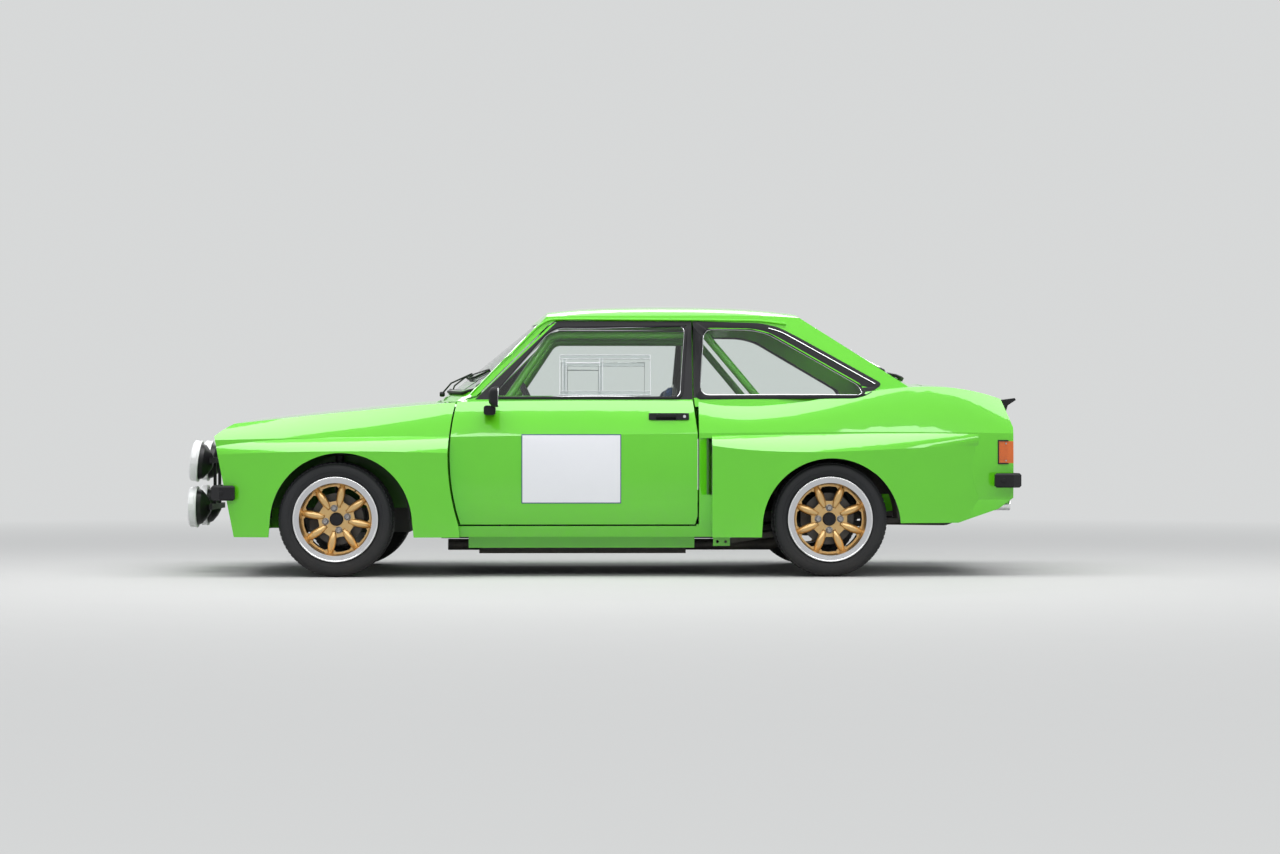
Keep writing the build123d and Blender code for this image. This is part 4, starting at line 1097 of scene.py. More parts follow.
class SALOON_OT_finishes(bpy.types.Operator):
    """Paint, glass, rubber and metal on the car's own panels"""

    bl_idname = "saloon.finishes"
    bl_label = "Finishes"

    def execute(self, context):
        for key, names in NODE_FINISHES.items():
            for name in names:
                dress(name, palette[key])
        # Front wings, with near-black painted shade inside the front wheel arches
        dress("front_wings", shaded_arch_paint("Wing Paint", -1.252, 0.258, 0.3475, 0.842))
        dress("body_sides", side_paint())
        dress("engine_bay", bay_paint())
        doors = door_paint()
        for name in DOORS:
            dress(name, doors)
        dress("headlamps", sealed_beam())
        dress("spot_lamps", lamp_bowls())
        dress("rear_lamps", rear_lens())
        for corner, centre_x, _ in CORNERS:
            dress("wheel_" + corner, wheel_finish(centre_x))
        return {"FINISHED"}


# Shapes laid on the panels

VIEWS = {
    "left": (lambda a, b: (a, -2.0, b), (0, 1, 0)),
    "front": (lambda a, b: (-3.0, a, b), (1, 0, 0)),
    "rear": (lambda a, b: (3.0, a, b), (-1, 0, 0)),
}


def flat_outline(points, radius=0.03, step=0.04, closed=True):
    """A smooth flat outline with many points."""
    return divided(rounded(points, radius, 6, closed), step, closed)


def laid(tree, flat, view, spread=0.0, closed=True, span=(-3.0, 3.0), glass=None):
    """Where a flat outline lies on a surface, and the normals there; the surface is read spread outside it.

    A hit outside the span along X counts as a miss, and the glass under the outline then gives the place.
    """
    place, direction = VIEWS[view]
    count = len(flat)
    middle = sum(flat, Vector((0, 0))) / count
    points, normals = [], []
    last = None
    for i, point in enumerate(flat):
        before = flat[i - 1] if closed or i else point
        after = flat[(i + 1) % count] if closed or i < count - 1 else point
        tangent = (after - before).normalized()
        out = Vector((tangent.y, -tangent.x))
        if out.dot(point - middle) < 0:
            out = -out
        start = Vector(place(*(point + out * spread)))
        hit, normal = on_skin(tree, start, direction)
        if hit is None or not span[0] < hit.x < span[1]:
            hit = None
            if glass:
                start = Vector(place(*point))
                hit, normal = on_skin(glass, start, direction)
                if hit is not None and not span[0] < hit.x < span[1]:
                    hit = None
        if hit is None:
            if last is None:
                continue
            hit, normal = start.copy(), last[1]
            axis = 1 if view == "left" else 0
            hit[axis] = last[0][axis]
        hit = hit + Vector(place(*point)) - start
        last = (hit, normal)
        points.append(hit)
        normals.append(normal)
    return points, normals


def lip_profile(width, height, sink):
    """The profile of a rubber lip that is sunk into the panel below it."""
    half = width / 2
    return [
        (-half, -sink), (-half, height * 0.4), (-half * 0.7, height * 0.85), (-half * 0.3, height),
        (half * 0.3, height), (half * 0.7, height * 0.85), (half, height * 0.4), (half, -sink),
    ]


def on_both(name, part, material, bodies=("body", "body"), angle=35):
    """A left piece and its mirror image on the right."""
    left = piece(name + "_left", part, material, bodies[0], angle=angle)
    right = piece(name + "_right", flipped(part), material, bodies[1], angle=angle)
    return left, right


def sheet_on(tree, low, high, view, lift, columns, rows, sink=0.002):
    """A thin sheet laid on a surface, with turned-down edges."""
    place, direction = VIEWS[view]
    hits = []
    for r in range(rows + 1):
        for c in range(columns + 1):
            a = low[0] + (high[0] - low[0]) * c / columns
            b = low[1] + (high[1] - low[1]) * r / rows
            hits.append(on_skin(tree, place(a, b), direction))
    top = [hit + normal * lift for hit, normal in hits]
    under = [hit - normal * sink for hit, normal in hits]
    faces = []
    total = len(top)
    width = columns + 1
    for r in range(rows):
        for c in range(columns):
            k = r * width + c
            faces.append([k, k + 1, k + width + 1, k + width])
            faces.append([total + k, total + k + width, total + k + width + 1, total + k + 1])
    rim = list(range(width)) + [r * width + columns for r in range(1, rows + 1)]
    rim += [rows * width + c for c in range(columns - 1, -1, -1)]
    rim += [r * width for r in range(rows - 1, 0, -1)]
    for i, k in enumerate(rim):
        n = rim[(i + 1) % len(rim)]
        faces.append([k, total + k, total + n, n])
    return top + under, faces


def sheets_on(tree, corners, lift, columns, rows, sink=0.002):
    """Several thin sheets on the car's left side, each given by two corners of the side view."""
    return merge(*[sheet_on(tree, low, high, "left", lift, columns, rows, sink) for low, high in corners])


def ribbon_between(outer, inner, heights):
    """A closed band between two matched outlines: (share across, height along the normal) pairs."""
    verts = []
    for place_out, normal_out, place_in, normal_in in zip(*outer, *inner):
        for share, height in heights:
            normal = normal_out.lerp(normal_in, share).normalized()
            verts.append(place_out.lerp(place_in, share) + normal * height)
    return verts, wrapped(len(outer[0]), len(heights))


def placed(part, move, tilt):
    """A part turned about the Y axis and then moved."""
    verts, faces = part
    spin = Matrix.Rotation(tilt, 3, "Y")
    return [spin @ Vector(v) + Vector(move) for v in verts], faces


def upright(part, move):
    """A part made along X, stood up along Z and then moved."""
    return placed(part, move, math.radians(-90))


def plate_from(points, near, far, axis="Y"):
    """A flat plate with a given outline between two distances along an axis."""
    verts = []
    for distance in (near, far):
        for a, b in points:
            verts.append(Vector((a, distance, b)) if axis == "Y" else Vector((distance, a, b)))
    count = len(points)
    faces = [list(range(count)), [count + k for k in reversed(range(count))]]
    faces += [[k, (k + 1) % count, count + (k + 1) % count, count + k] for k in range(count)]
    return verts, faces


def resampled(corners, count, radius):
    """A rounded outline with a set number of points, shared out between its corners."""
    fine = rounded(corners, radius, 6)
    per = max(1, count // len(fine))
    result = []
    for i, point in enumerate(fine):
        after = fine[(i + 1) % len(fine)]
        result += [point.lerp(after, k / per) for k in range(per)]
    return result


def lifted(points, normals, height):
    """Points moved along their normals."""
    return [point + normal * height for point, normal in zip(points, normals)]


def drawn_in(points, normals, shift, depth=0.003):
    """An outline sunk a little and drawn in towards its middle."""
    sunk = lifted(points, normals, -depth)
    middle = sum(sunk, Vector()) / len(sunk)
    return [point + (middle - point).normalized() * shift for point in sunk]


# The windows

QUARTER_POINTS = 160
QUARTER_BAND = ((0, -0.002), (0, 0.002), (0.15, 0.0034), (0.85, 0.0034), (1, 0.001), (1, -0.009))
QUARTER_STRIP = ((0.842, 1.221), (0.905, 1.203), (0.985, 1.158), (1.365, 0.943))
RAIL_PROFILE = (
    (-0.006, -0.004), (-0.006, 0.004), (-0.002, 0.009), (0.004, 0.009), (0.005, 0.002), (0.005, -0.004),
)

# Name, view, left half of the outline and the X span in which the outline has to lie

SCREENS = (
    ("windscreen", "front", SCREEN_HALF, (-0.90, -0.20)), ("back_window", "rear", BACK_HALF, (0.85, 1.60)),
)

# Each wiper: its pivot, and Y and Z of its blade's heel and tip

WIPERS = (
    ((-0.788, -0.155, 0.902), (-0.22, 0.975), (-0.49, 1.010)),
    ((-0.770, 0.330, 0.900), (0.27, 0.978), (-0.02, 1.000)),
)
BLADE_PROFILE = ((-0.002, -0.004), (-0.0025, 0.006), (0.0025, 0.006), (0.002, -0.004))
BLADE_PARTS = 8
BLADE_OVERRUN = 1.12
BLADE_SAG = 0.0135
PIVOT_PROFILE = ((0.0, 0.0), (0.0, 0.010), (0.006, 0.013), (0.020, 0.013), (0.026, 0.008), (0.026, 0.0))


def door_rubbers(bead):
    """A rubber with a bright bead round each door window."""
    points, normals = laid(skin(["door_left"]), flat_outline(DOOR_WINDOW, 0.035), "left", 0.012)
    rubber = profile_sweep(points, normals, lip_profile(0.013, 0.003, 0.009))
    on_both("door_window_rubber", rubber, "rubber", DOORS)
    inside = drawn_in(points, normals, 0.009)
    on_both("door_window_bead", profile_sweep(inside, normals, bead), "bright", DOORS)


def quarter_surrounds(shell, bead):
    """A black surround with a bright bead and a bright strip round each quarter window."""
    outer = laid(shell, resampled(QUARTER_OUTER, QUARTER_POINTS, 0.03), "left")
    inner = laid(shell, resampled(QUARTER_INNER, QUARTER_POINTS, 0.05), "left", 0.010)
    on_both("quarter_surround", ribbon_between(outer, inner, QUARTER_BAND), "trim")
    on_both("quarter_bead", profile_sweep(drawn_in(*inner, 0.003), inner[1], bead), "bright")
    points, normals = laid(shell, flat_outline(QUARTER_STRIP, 0.05, closed=False), "left", closed=False)
    strip = lip_profile(0.0045, 0.0022, 0.002)
    strip = profile_sweep(lifted(points, normals, 0.0045), normals, strip, closed=False)
    on_both("quarter_bright_strip", strip, "bright")


def screen_rubbers(shell):
    """A rubber with a bright bead round the windscreen and the back window."""
    glass = skin(["fixed_glass"])
    for name, view, half, span in SCREENS:
        whole = list(half) + [(-y, z) for y, z in reversed(half[1:-1])]
        points, normals = laid(shell, flat_outline(whole, 0.07), view, 0.016, span=span, glass=glass)
        piece(name + "_rubber", profile_sweep(points, normals, lip_profile(0.024, 0.005, 0.010)), "rubber")
        bead = profile_sweep(lifted(points, normals, 0.0052), normals, circle_profile(0.0028))
        piece(name + "_bead", bead, "bright")


class SALOON_OT_window_rubbers(bpy.types.Operator):
    """Rubbers, bright beads and black surrounds of every window, with the drip rails"""

    bl_idname = "saloon.window_rubbers"
    bl_label = "Window rubbers"

    def execute(self, context):
        shell = skin(["body_sides", "roof_panel"])
        bead = circle_profile(sizes().bead_radius)
        door_rubbers(bead)
        quarter_surrounds(shell, bead)
        screen_rubbers(shell)
        points, normals = laid(shell, flat_outline(DRIP_RAIL, 0.06, closed=False), "left", closed=False)
        on_both("drip_rail", profile_sweep(points, normals, RAIL_PROFILE, closed=False), "paint")
        return {"FINISHED"}


def wiper(glass, pivot, heel, tip):
    """A wiper's rubber, spine, arm and pivot, with the blade on the windscreen from heel to tip."""
    points, normals = [], []
    for k in range(BLADE_PARTS + 1):
        share = k / BLADE_PARTS
        y = heel[0] + (tip[0] - heel[0]) * share * BLADE_OVERRUN
        z = heel[1] + (tip[1] - heel[1]) * share - BLADE_SAG * math.sin(math.pi * share)
        hit, normal = on_skin(glass, (-3, y, z), (1, 0, 0))
        points.append(hit + normal * 0.004)
        normals.append(normal)
    rubber = profile_sweep(points, normals, BLADE_PROFILE, closed=False)
    arch = [
        point + normal * (0.008 + 0.010 * math.sin(math.pi * k / BLADE_PARTS))
        for k, (point, normal) in enumerate(zip(points, normals))
    ]
    spine = profile_sweep(arch, normals, flat_bar(0.004, 0.002), closed=False)
    half = BLADE_PARTS // 2
    root = Vector(pivot)
    knee = root.lerp(arch[half], 0.35) + Vector((-0.012, 0, 0.022))
    arm = tube([root + Vector((0, 0, 0.012)), knee, arch[half] + normals[half] * 0.006], 0.0042, 8)
    head = turned_x(PIVOT_PROFILE, (root.x - 0.02, root.y, root.z), 24)
    return merge(rubber, spine, arm, head)


class SALOON_OT_wipers(bpy.types.Operator):
    """Two wipers parked on the windscreen"""

    bl_idname = "saloon.wipers"
    bl_label = "Wipers"

    def execute(self, context):
        glass = skin(["fixed_glass"])
        for number, places in enumerate(WIPERS, 1):
            piece(f"wiper_{number}", wiper(glass, *places), "trim")
        return {"FINISHED"}


# The doors: bars of the sliding pane, and pale strips of painted highlight along their edges, by two corners
# of the side view, and other parts

SLIDER_BARS = (
    ((-0.191, 1.066), (0.253, 1.087)), ((-0.191, 0.886), (0.253, 0.907)),
    ((-0.176, 0.907), (-0.160, 1.066)), ((0.004, 0.907), (0.020, 1.066)),
)
# Painted highlights: pale strips along the edges of the slider bars
SLIDER_GLINTS = (
    ((-0.191, 1.0845), (0.253, 1.087)), ((-0.191, 1.066), (0.253, 1.0678)),
    ((-0.191, 0.9052), (0.253, 0.907)), ((-0.191, 0.886), (0.253, 0.8885)),
    ((-0.162, 0.907), (-0.160, 1.066)), ((0.004, 0.907), (0.006, 1.066)),
    ((-0.178, 0.907), (-0.176, 1.066)), ((0.018, 0.907), (0.020, 1.066)),
    ((-0.16, 1.044), (0.004, 1.049)), ((-0.193, 0.886), (-0.191, 1.087)), ((0.253, 0.886), (0.255, 1.087)),
)
LOCK_PROFILE = ((0.0, 0.0), (0.0, 0.0072), (0.004, 0.0072), (0.004, 0.005), (0.0032, 0.005), (0.0032, 0.0))
MIRROR_OUTLINE = ((0.795, 0.832), (0.905, 0.832), (0.905, 0.920), (0.795, 0.920))
CARD_FACE = -0.6275
CARD_RIBS = (0.40, 0.44, 0.48, 0.52, 0.56)
PULL_PATH = ((-0.10, -0.628, 0.70), (-0.09, -0.600, 0.70), (0.09, -0.600, 0.70), (0.10, -0.628, 0.70))


def door_cards():
    """A ribbed card inside each door."""
    card = plate_from(rounded(DOOR_CARD, 0.03), CARD_FACE - 0.004, CARD_FACE)
    ribs = [brick((-0.56, CARD_FACE, z), (0.40, CARD_FACE + 0.002, z + 0.006)) for z in CARD_RIBS]
    for made in on_both("door_card", merge(card, *ribs), "dash", DOORS):
        bevelled(made, 0.0012, 1)


class SALOON_OT_door_fittings(bpy.types.Operator):
    """Blank door plates, sliding pane bars with painted highlights along their edges, handle flaps, locks,
    mirror glass, door cards and pulls
    """

    bl_idname = "saloon.door_fittings"
    bl_label = "Door fittings"

    def execute(self, context):
        plate = sheet_on(skin(["door_left"]), PLATE_LOW, PLATE_HIGH, "left", 0.0012, 24, 16)
        on_both("door_plate", plate, "plate", DOORS)
        pane = skin(["door_left_glass"])
        on_both("slider_frame", sheets_on(pane, SLIDER_BARS, 0.005, 8, 4, -0.0005), "slider", DOORS)
        # The pale strips on the slider's edges are painted highlights
        on_both("slider_glints", sheets_on(pane, SLIDER_GLINTS, 0.0062, 6, 4, -0.001), "slider_glint", DOORS)
        flap = brick((0.279, -0.7695, 0.7795), (0.377, -0.758, 0.7955))
        for made in on_both("handle_flap", flap, "trim", DOORS):
            bevelled(made, 0.003)
        lock = turned(LOCK_PROFILE, (0.418, -0.7635, 0.7825), segments=24, way=-1)
        on_both("door_lock", lock, "bright", DOORS)
        outline = [(-point.x, point.y) for point in rounded(MIRROR_OUTLINE, 0.02)]
        on_both("mirror_glass", plate_from(outline, -0.4905, -0.4885, axis="X"), "mirror", DOORS, angle=60)
        door_cards()
        on_both("door_pull", tube(PULL_PATH, 0.008, 10), "rubber", DOORS)
        return {"FINISHED"}


# The wheels and tyres

TYRE_SIDE = (
    (0.0850, 0.2725), (0.0905, 0.2680), (0.0935, 0.2630), (0.0950, 0.2622), (0.0955, 0.2600),
    (0.0962, 0.2588), (0.0985, 0.2480), (0.0992, 0.2370), (0.0990, 0.2330), (0.0997, 0.2322),
    (0.0996, 0.2304), (0.0986, 0.2296), (0.0975, 0.2230), (0.0955, 0.2150), (0.0962, 0.2138),
    (0.0950, 0.2118), (0.0925, 0.2090), (0.0915, 0.1785),
)
BLOCK_NEAR = 0.0548
BLOCK_FAR = 0.0860
BLOCK_TOP = 0.2801
BLOCK_LEAN = 0.10
BLOCK_WIDTH = 0.74
FRONT_LEFT_START = -math.radians(12)
NUT_CIRCLE = 0.0545
VALVE_CIRCLE = 0.170
NUT_WASHER = (
    (-0.002, 0.0), (-0.002, 0.0175), (0.0012, 0.0175), (0.0020, 0.0160), (0.0008, 0.0140), (0.0008, 0.0),
)
NUT_HEXAGON = (
    (0.0, 0.0), (0.0, 0.0125), (0.014, 0.0125), (0.0165, 0.0100), (0.0165, 0.0062), (0.012, 0.0055),
    (0.012, 0.0),
)
WHEEL_LIP = (
    (0.0635, 0.1985), (0.0662, 0.2005), (0.0680, 0.2035), (0.0672, 0.2065), (0.0650, 0.2078),
    (0.0630, 0.2070),
)
WHEEL_CAP = (
    (-0.004, 0.0), (-0.004, 0.033), (0.008, 0.033), (0.012, 0.031), (0.0165, 0.029), (0.0165, 0.026),
    (0.015, 0.0245), (0.0155, 0.012), (0.016, 0.0),
)


def tyre_section(floor):
    """A tyre's section from bead to bead as (along, radius) pairs, floor being the grooves' radius."""
    half = [
        (0.0, TYRE_RADIUS), (0.0125, TYRE_RADIUS), (0.0135, floor), (0.0205, floor), (0.0215, 0.2808),
        (0.0445, 0.2802), (0.0455, floor), (0.0525, floor), (0.0540, floor), (0.0720, floor - 0.0008),
        *TYRE_SIDE,
    ]
    return [(-along, radius) for along, radius in reversed(half[1:])] + half


def shoulder_block(side, way, floor, pitch):
    """One block of a tyre's shoulder on the line along +X: three rows of points across, three along."""
    verts = []
    rows = (
        (BLOCK_NEAR, floor - 0.005, BLOCK_TOP), (BLOCK_NEAR + 0.022, floor - 0.005, BLOCK_TOP - 0.0008),
        (BLOCK_FAR, floor - 0.009, BLOCK_TOP - 0.0060),
    )
    for turn in (-BLOCK_WIDTH / 2, 0.0, BLOCK_WIDTH / 2):
        for along, low, top in rows:
            angle = (turn + BLOCK_LEAN * (along - BLOCK_NEAR) / (BLOCK_FAR - BLOCK_NEAR)) * pitch
            y = side * WHEEL_OFFSET + way * along
            for radius in (low, top):
                verts.append(Vector((radius * math.cos(angle), y, radius * math.sin(angle))))
    faces = [[t + a + 1, t + a + 3, t + a + 9, t + a + 7] for t in (0, 6) for a in (0, 2)]
    for a in (0, 2):
        faces.append([a, a + 2, a + 3, a + 1])
        faces.append([12 + a, 13 + a, 15 + a, 14 + a])
    for t in (0, 6):
        faces += [[t, t + 1, t + 7, t + 6], [t + 4, t + 10, t + 11, t + 5]]
        faces += [[t, t + 6, t + 8, t + 2], [t + 2, t + 8, t + 10, t + 4]]
    return verts, faces


def ring(name, part, corner, centre_x, material, count, start=0.0, smooth=True):
    """Copies of a part round a wheel's axis, each made for the line along +X."""
    return repeated(
        name + "_" + corner, part, ring_tree(), "wheel_" + corner, material, smooth=smooth,
        count=count, centre=(centre_x, 0, AXLE_HEIGHT), start=start,
    )


class SALOON_OT_tyres(bpy.types.Operator):
    """Low road tyres with grooves, shoulder blocks and sidewall rings"""

    bl_idname = "saloon.tyres"
    bl_label = "Tyres"

    def execute(self, context):
        floor = TYRE_RADIUS - sizes().groove_depth
        blocks = sizes().tread_blocks
        pitch = 2 * math.pi / blocks
        for corner, centre_x, side in CORNERS:
            carcass = turned(tyre_section(floor), (centre_x, side * WHEEL_OFFSET, AXLE_HEIGHT), segments=96)
            made = piece("tyre_carcass_" + corner, carcass, "tyre", "wheel_" + corner, angle=28)
            pair = merge(*[shoulder_block(side, way, floor, pitch) for way in (-1, 1)])
            tread = ring("tyre_tread", pair, corner, centre_x, "tyre", blocks, smooth=False)
            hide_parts("tyre_" + corner)
        return {"FINISHED"}


def cigar(near, far, half, rise, base, side, stations=14, around=9):
    """A rounded spoke that lies along +X, its back on the wheel's face."""
    verts, faces = [], []
    for s in range(stations + 1):
        share = s / stations
        swell = math.sin(math.pi * (0.06 + 0.88 * share)) ** 0.6
        reach = near + (far - near) * share
        for k in range(around):
            turn = math.pi * k / (around - 1)
            outward = side * rise * swell * math.sin(turn)
            verts.append(Vector((reach, base + outward, half * swell * math.cos(turn))))
    for s in range(stations):
        for k in range(around - 1):
            a = s * around + k
            faces.append((a, a + 1, a + around + 1, a + around))
        faces.append((s * around, (s + 1) * around, (s + 2) * around - 1, (s + 1) * around - 1))
    return verts, faces + end_caps(stations + 1, around)


class SALOON_OT_wheel_parts(bpy.types.Operator):
    """Spokes, rim lips, wheel nuts, centre caps and valves"""

    bl_idname = "saloon.wheel_parts"
    bl_label = "Wheel parts"

    def execute(self, context):
        for corner, centre_x, side in CORNERS:
            body = "wheel_" + corner
            hub = (centre_x, side * RIM_FACE, AXLE_HEIGHT)
            start = FRONT_LEFT_START if corner == "front_left" else 0.0
            spoke = cigar(0.064, 0.174, 0.0205, 0.018, side * (RIM_FACE + 0.003), side)
            ring("wheel_spokes", spoke, corner, centre_x, "gold", 8, start + math.pi / 8)
            lip = turned(WHEEL_LIP, hub, segments=128, way=side)
            piece("wheel_lip_" + corner, lip, "polished", body, angle=60)
            nut = [
                turned(profile, (NUT_CIRCLE, side * RIM_FACE, 0), segments=segments, way=side)
                for profile, segments in ((NUT_WASHER, 24), (NUT_HEXAGON, 6))
            ]
            ring("wheel_nuts", merge(*nut), corner, centre_x, "steel", 4, start)
            cap = turned(WHEEL_CAP, hub, segments=48, way=side)
            piece("wheel_cap_" + corner, cap, "rubber", body, angle=25)
            turn = start + math.pi * 0.375
            outward = Vector((math.cos(turn), 0, math.sin(turn)))
            root = Vector(hub) + outward * VALVE_CIRCLE + Vector((0, side * 0.010, 0))
            valve = tube([root, root + outward * -0.004 + Vector((0, side * 0.026, 0))], 0.0034, 10)
            piece("wheel_valve_" + corner, valve, "rubber", body)
        return {"FINISHED"}


# Lamps, and other parts of the body

COVER_RIBS = (0.030, 0.078)
SPOT_RIM = ((0.031, 0.0985), (0.031, 0.1040), (0.036, 0.1058), (0.042, 0.1040), (0.042, 0.0960))
HEADLAMP_RIM = (
    (-0.0125, 0.078), (-0.0125, 0.084), (-0.006, 0.0885), (0.004, 0.0905), (0.010, 0.0905), (0.010, 0.078),
)
SCREW_PROFILE = ((0.0, 0.0), (0.0, 0.004), (0.0015, 0.0035), (0.0015, 0.0))
LAMP_GASKET = (
    ((1.957, 0.549), (2.010, 0.555)), ((1.957, 0.661), (2.010, 0.667)), ((1.957, 0.549), (1.962, 0.667)),
)

# Housings to seal: name, panel outside, axle and the housing's inner and outer radius

ARCH_SEAMS = (
    ("rear", "body_sides", REAR_AXLE, 0.337, 0.345), ("front", "front_wings", FRONT_AXLE, 0.351, 0.359),
)
SEAM_STEPS = 90
SEAM_GAPS = (0.003, 0.14)
EXHAUST_TIP = (
    (0.0, 0.0226), (0.0, 0.0250), (0.004, 0.0256), (0.080, 0.0256), (0.084, 0.0262), (0.088, 0.0254),
    (0.088, 0.0232), (0.078, 0.0226),
)
# A black disc that closes the exhaust tip: soot, and painted shade for the pipe's dark inside
EXHAUST_SOOT_AND_SHADE = ((0.0, 0.0), (0.0, 0.0224), (0.002, 0.0224), (0.002, 0.0))
BOOT_LOCK = ((0.0, 0.0), (0.0, 0.016), (0.005, 0.015), (0.007, 0.010), (0.007, 0.0))
BOLT_PROFILE = ((0.0, 0.0), (0.0, 0.011), (0.003, 0.010), (0.004, 0.0))


def spot_lamp_parts():
    """Ribs, clips and rims of the driving lamps' covers."""
    for level, height, lean in SPOT_LEVELS:
        place = (SPOT_FRONT + SPOT_RADIUS * math.sin(lean), -SPOT_OUT, height)
        ribs, clips = [], []
        for r in COVER_RIBS:
            rib = [(-0.0016, r - 0.004), (-0.0016, r + 0.004), (0.002, r + 0.006), (0.002, r - 0.006)]
            ribs.append(turned_x(rib, segments=64))
        for way in (-1, 1):
            clips.append(brick((0.004, way * 0.1005 - 0.003, -0.016), (0.038, way * 0.1045 + 0.0025, 0.016)))
        on_both(f"lamp_cover_ribs_{level}", placed(merge(*ribs), place, lean), "white")
        for made in on_both(f"lamp_cover_clips_{level}", placed(merge(*clips), place, lean), "white"):
            bevelled(made, 0.002)
        on_both(f"lamp_rim_{level}", placed(turned_x(SPOT_RIM, segments=72), place, lean), "white")


class SALOON_OT_lamp_parts(bpy.types.Operator):
    """Driving lamp covers, headlamp rims, and the rear lamps' screws, gaskets and ribs"""

    bl_idname = "saloon.lamp_parts"
    bl_label = "Lamp parts"

    def execute(self, context):
        spot_lamp_parts()
        on_both("headlamp_rim", turned_x(HEADLAMP_RIM, (-1.850, -0.530, 0.586), 72), "polished")
        screws = [turned(SCREW_PROFILE, (1.998, -0.7385, z), segments=12, way=-1) for z in (0.566, 0.650)]
        on_both("rear_lamp_screws", merge(*screws), "steel")
        tail = skin(["rear_lamps", "body_sides", "rear_panel"])
        on_both("rear_lamp_gasket", sheets_on(tail, LAMP_GASKET, 0.004, 6, 3), "rubber")
        ribs = [((1.966, z), (2.006, z + 0.0022)) for z in (0.574, 0.590, 0.606, 0.622, 0.638)]
        on_both("rear_lamp_ribs", sheets_on(tail, ribs, 0.0016, 6, 2), "amber")
        return {"FINISHED"}


def arch_seam(tree, centre_x, inner, outer):
    """Sealer between the end of a left wheel housing and the panel outside it, where they leave a gap."""
    near = -HOUSING_REACH + 0.004
    runs = [[]]
    for k in range(SEAM_STEPS + 1):
        angle = math.pi * k / SEAM_STEPS
        c, s = math.cos(angle), math.sin(angle)
        start = (centre_x + inner * c, -HOUSING_REACH + 0.02, AXLE_HEIGHT + inner * s)
        hit, _ = on_skin(tree, start, (0, -1, 0))
        if hit is None or not SEAM_GAPS[0] < -hit.y - HOUSING_REACH < SEAM_GAPS[1]:
            runs.append([])
            continue
        far = hit.y + 0.001
        runs[-1].append([
            Vector((centre_x + r * c, y, AXLE_HEIGHT + r * s))
            for r, y in ((inner, near), (outer, near), (outer, far), (inner, far))
        ])
    parts = [
        ([v for row in run for v in row], wrapped(len(run), 4, closed=False) + end_caps(len(run), 4))
        for run in runs if len(run) >= 3
    ]
    if not parts:
        raise RuntimeError("the wheel housing leaves no gap to seal")
    return merge(*parts)


def row(name, part, material, count, start, step):
    """Copies of a part along a straight line."""
    return repeated(
        name, part, row_tree(), "body", material, smooth=False, count=count, start=start, step=step
    )


class SALOON_OT_body_parts(bpy.types.Operator):
    """Wheel housing seams, exhaust tip, boot lock, rear plate, lower intake mesh and bumper bolts"""

    bl_idname = "saloon.body_parts"
    bl_label = "Body parts"

    def execute(self, context):
        for name, panel, *seam in ARCH_SEAMS:
            on_both(f"arch_seam_{name}", arch_seam(skin([panel]), *seam), "underside")
        piece("exhaust_tip", turned_x(EXHAUST_TIP, (1.955, -0.560, 0.3445), 48), "polished")
        # Black disc in the tip: soot, and painted shade for the inside of the pipe
        piece("exhaust_soot_and_shade", turned_x(EXHAUST_SOOT_AND_SHADE, (2.0405, -0.560, 0.3460)), "rubber")
        tail = skin(["boot_lid", "rear_panel"])
        hit, _ = on_skin(tail, (3, 0.0, 0.745), (-1, 0, 0))
        piece("boot_lock", turned_x(BOOT_LOCK, (hit.x - 0.002, 0, 0.745)), "bright", "boot_lid")
        piece("rear_plate_blank", sheet_on(tail, (-0.26, 0.528), (0.26, 0.638), "rear", 0.004, 4, 4), "plate")
        bar = brick((0, -0.002, -0.036), (0.006, 0.002, 0.036))
        row("intake_mesh_upright", bar, "trim", 44, (-1.842, -0.3225, 0.265), (0, 0.015, 0))
        bar = brick((0, -0.33, -0.0015), (0.006, 0.33, 0.0015))
        row("intake_mesh_level", bar, "trim", 5, (-1.842, 0, 0.235), (0, 0, 0.015))
        bolts = [
            turned(BOLT_PROFILE, place, segments=24, way=-1)
            for place in ((-1.835, -0.812, 0.409), (1.975, -0.812, 0.470))
        ]
        on_both("bumper_bolts", merge(*bolts), "rubber")
        return {"FINISHED"}


# The seats

PAD_VOXEL = 0.009
PAD_PRESSURE = 4.0
PAD_REACH = 0.012
PAD_STIFFNESS = 18
PAD_FRAMES = 20
PAD_ENDS = (
    (0.0, 0.016), (0.04, 0.006), (0.10, 0.0), (0.5, 0.0), (0.90, 0.0), (0.96, 0.006), (1.0, 0.016),
)
SEAT_PADS = (
    (SEAT_WING, -0.205, -0.148), (SEAT_WING, 0.148, 0.205), (SEAT_BASE, -0.132, 0.132),
    (SEAT_BACK, -0.132, 0.132), (SEAT_HEAD, -0.115, 0.115),
)

# The path of a belt: X, distance from the seat's middle as a share of WEBBING_OUT, and Z

WEBBING_OUT = 0.062
WEBBING_PATH = (
    (0.470, 1.0, 0.905), (0.400, 1.0, 0.850), (0.368, 1.0, 0.824), (0.315, 1.0, 0.812), (0.276, 1.0, 0.770),
    (0.262, 1.0, 0.700), (0.232, 1.1, 0.560), (0.200, 1.2, 0.460), (0.150, 1.1, 0.412), (0.105, 0.4, 0.406),
)
BUCKLE_PROFILE = ((-0.008, 0.0), (-0.008, 0.028), (0.006, 0.028), (0.010, 0.022), (0.010, 0.0))


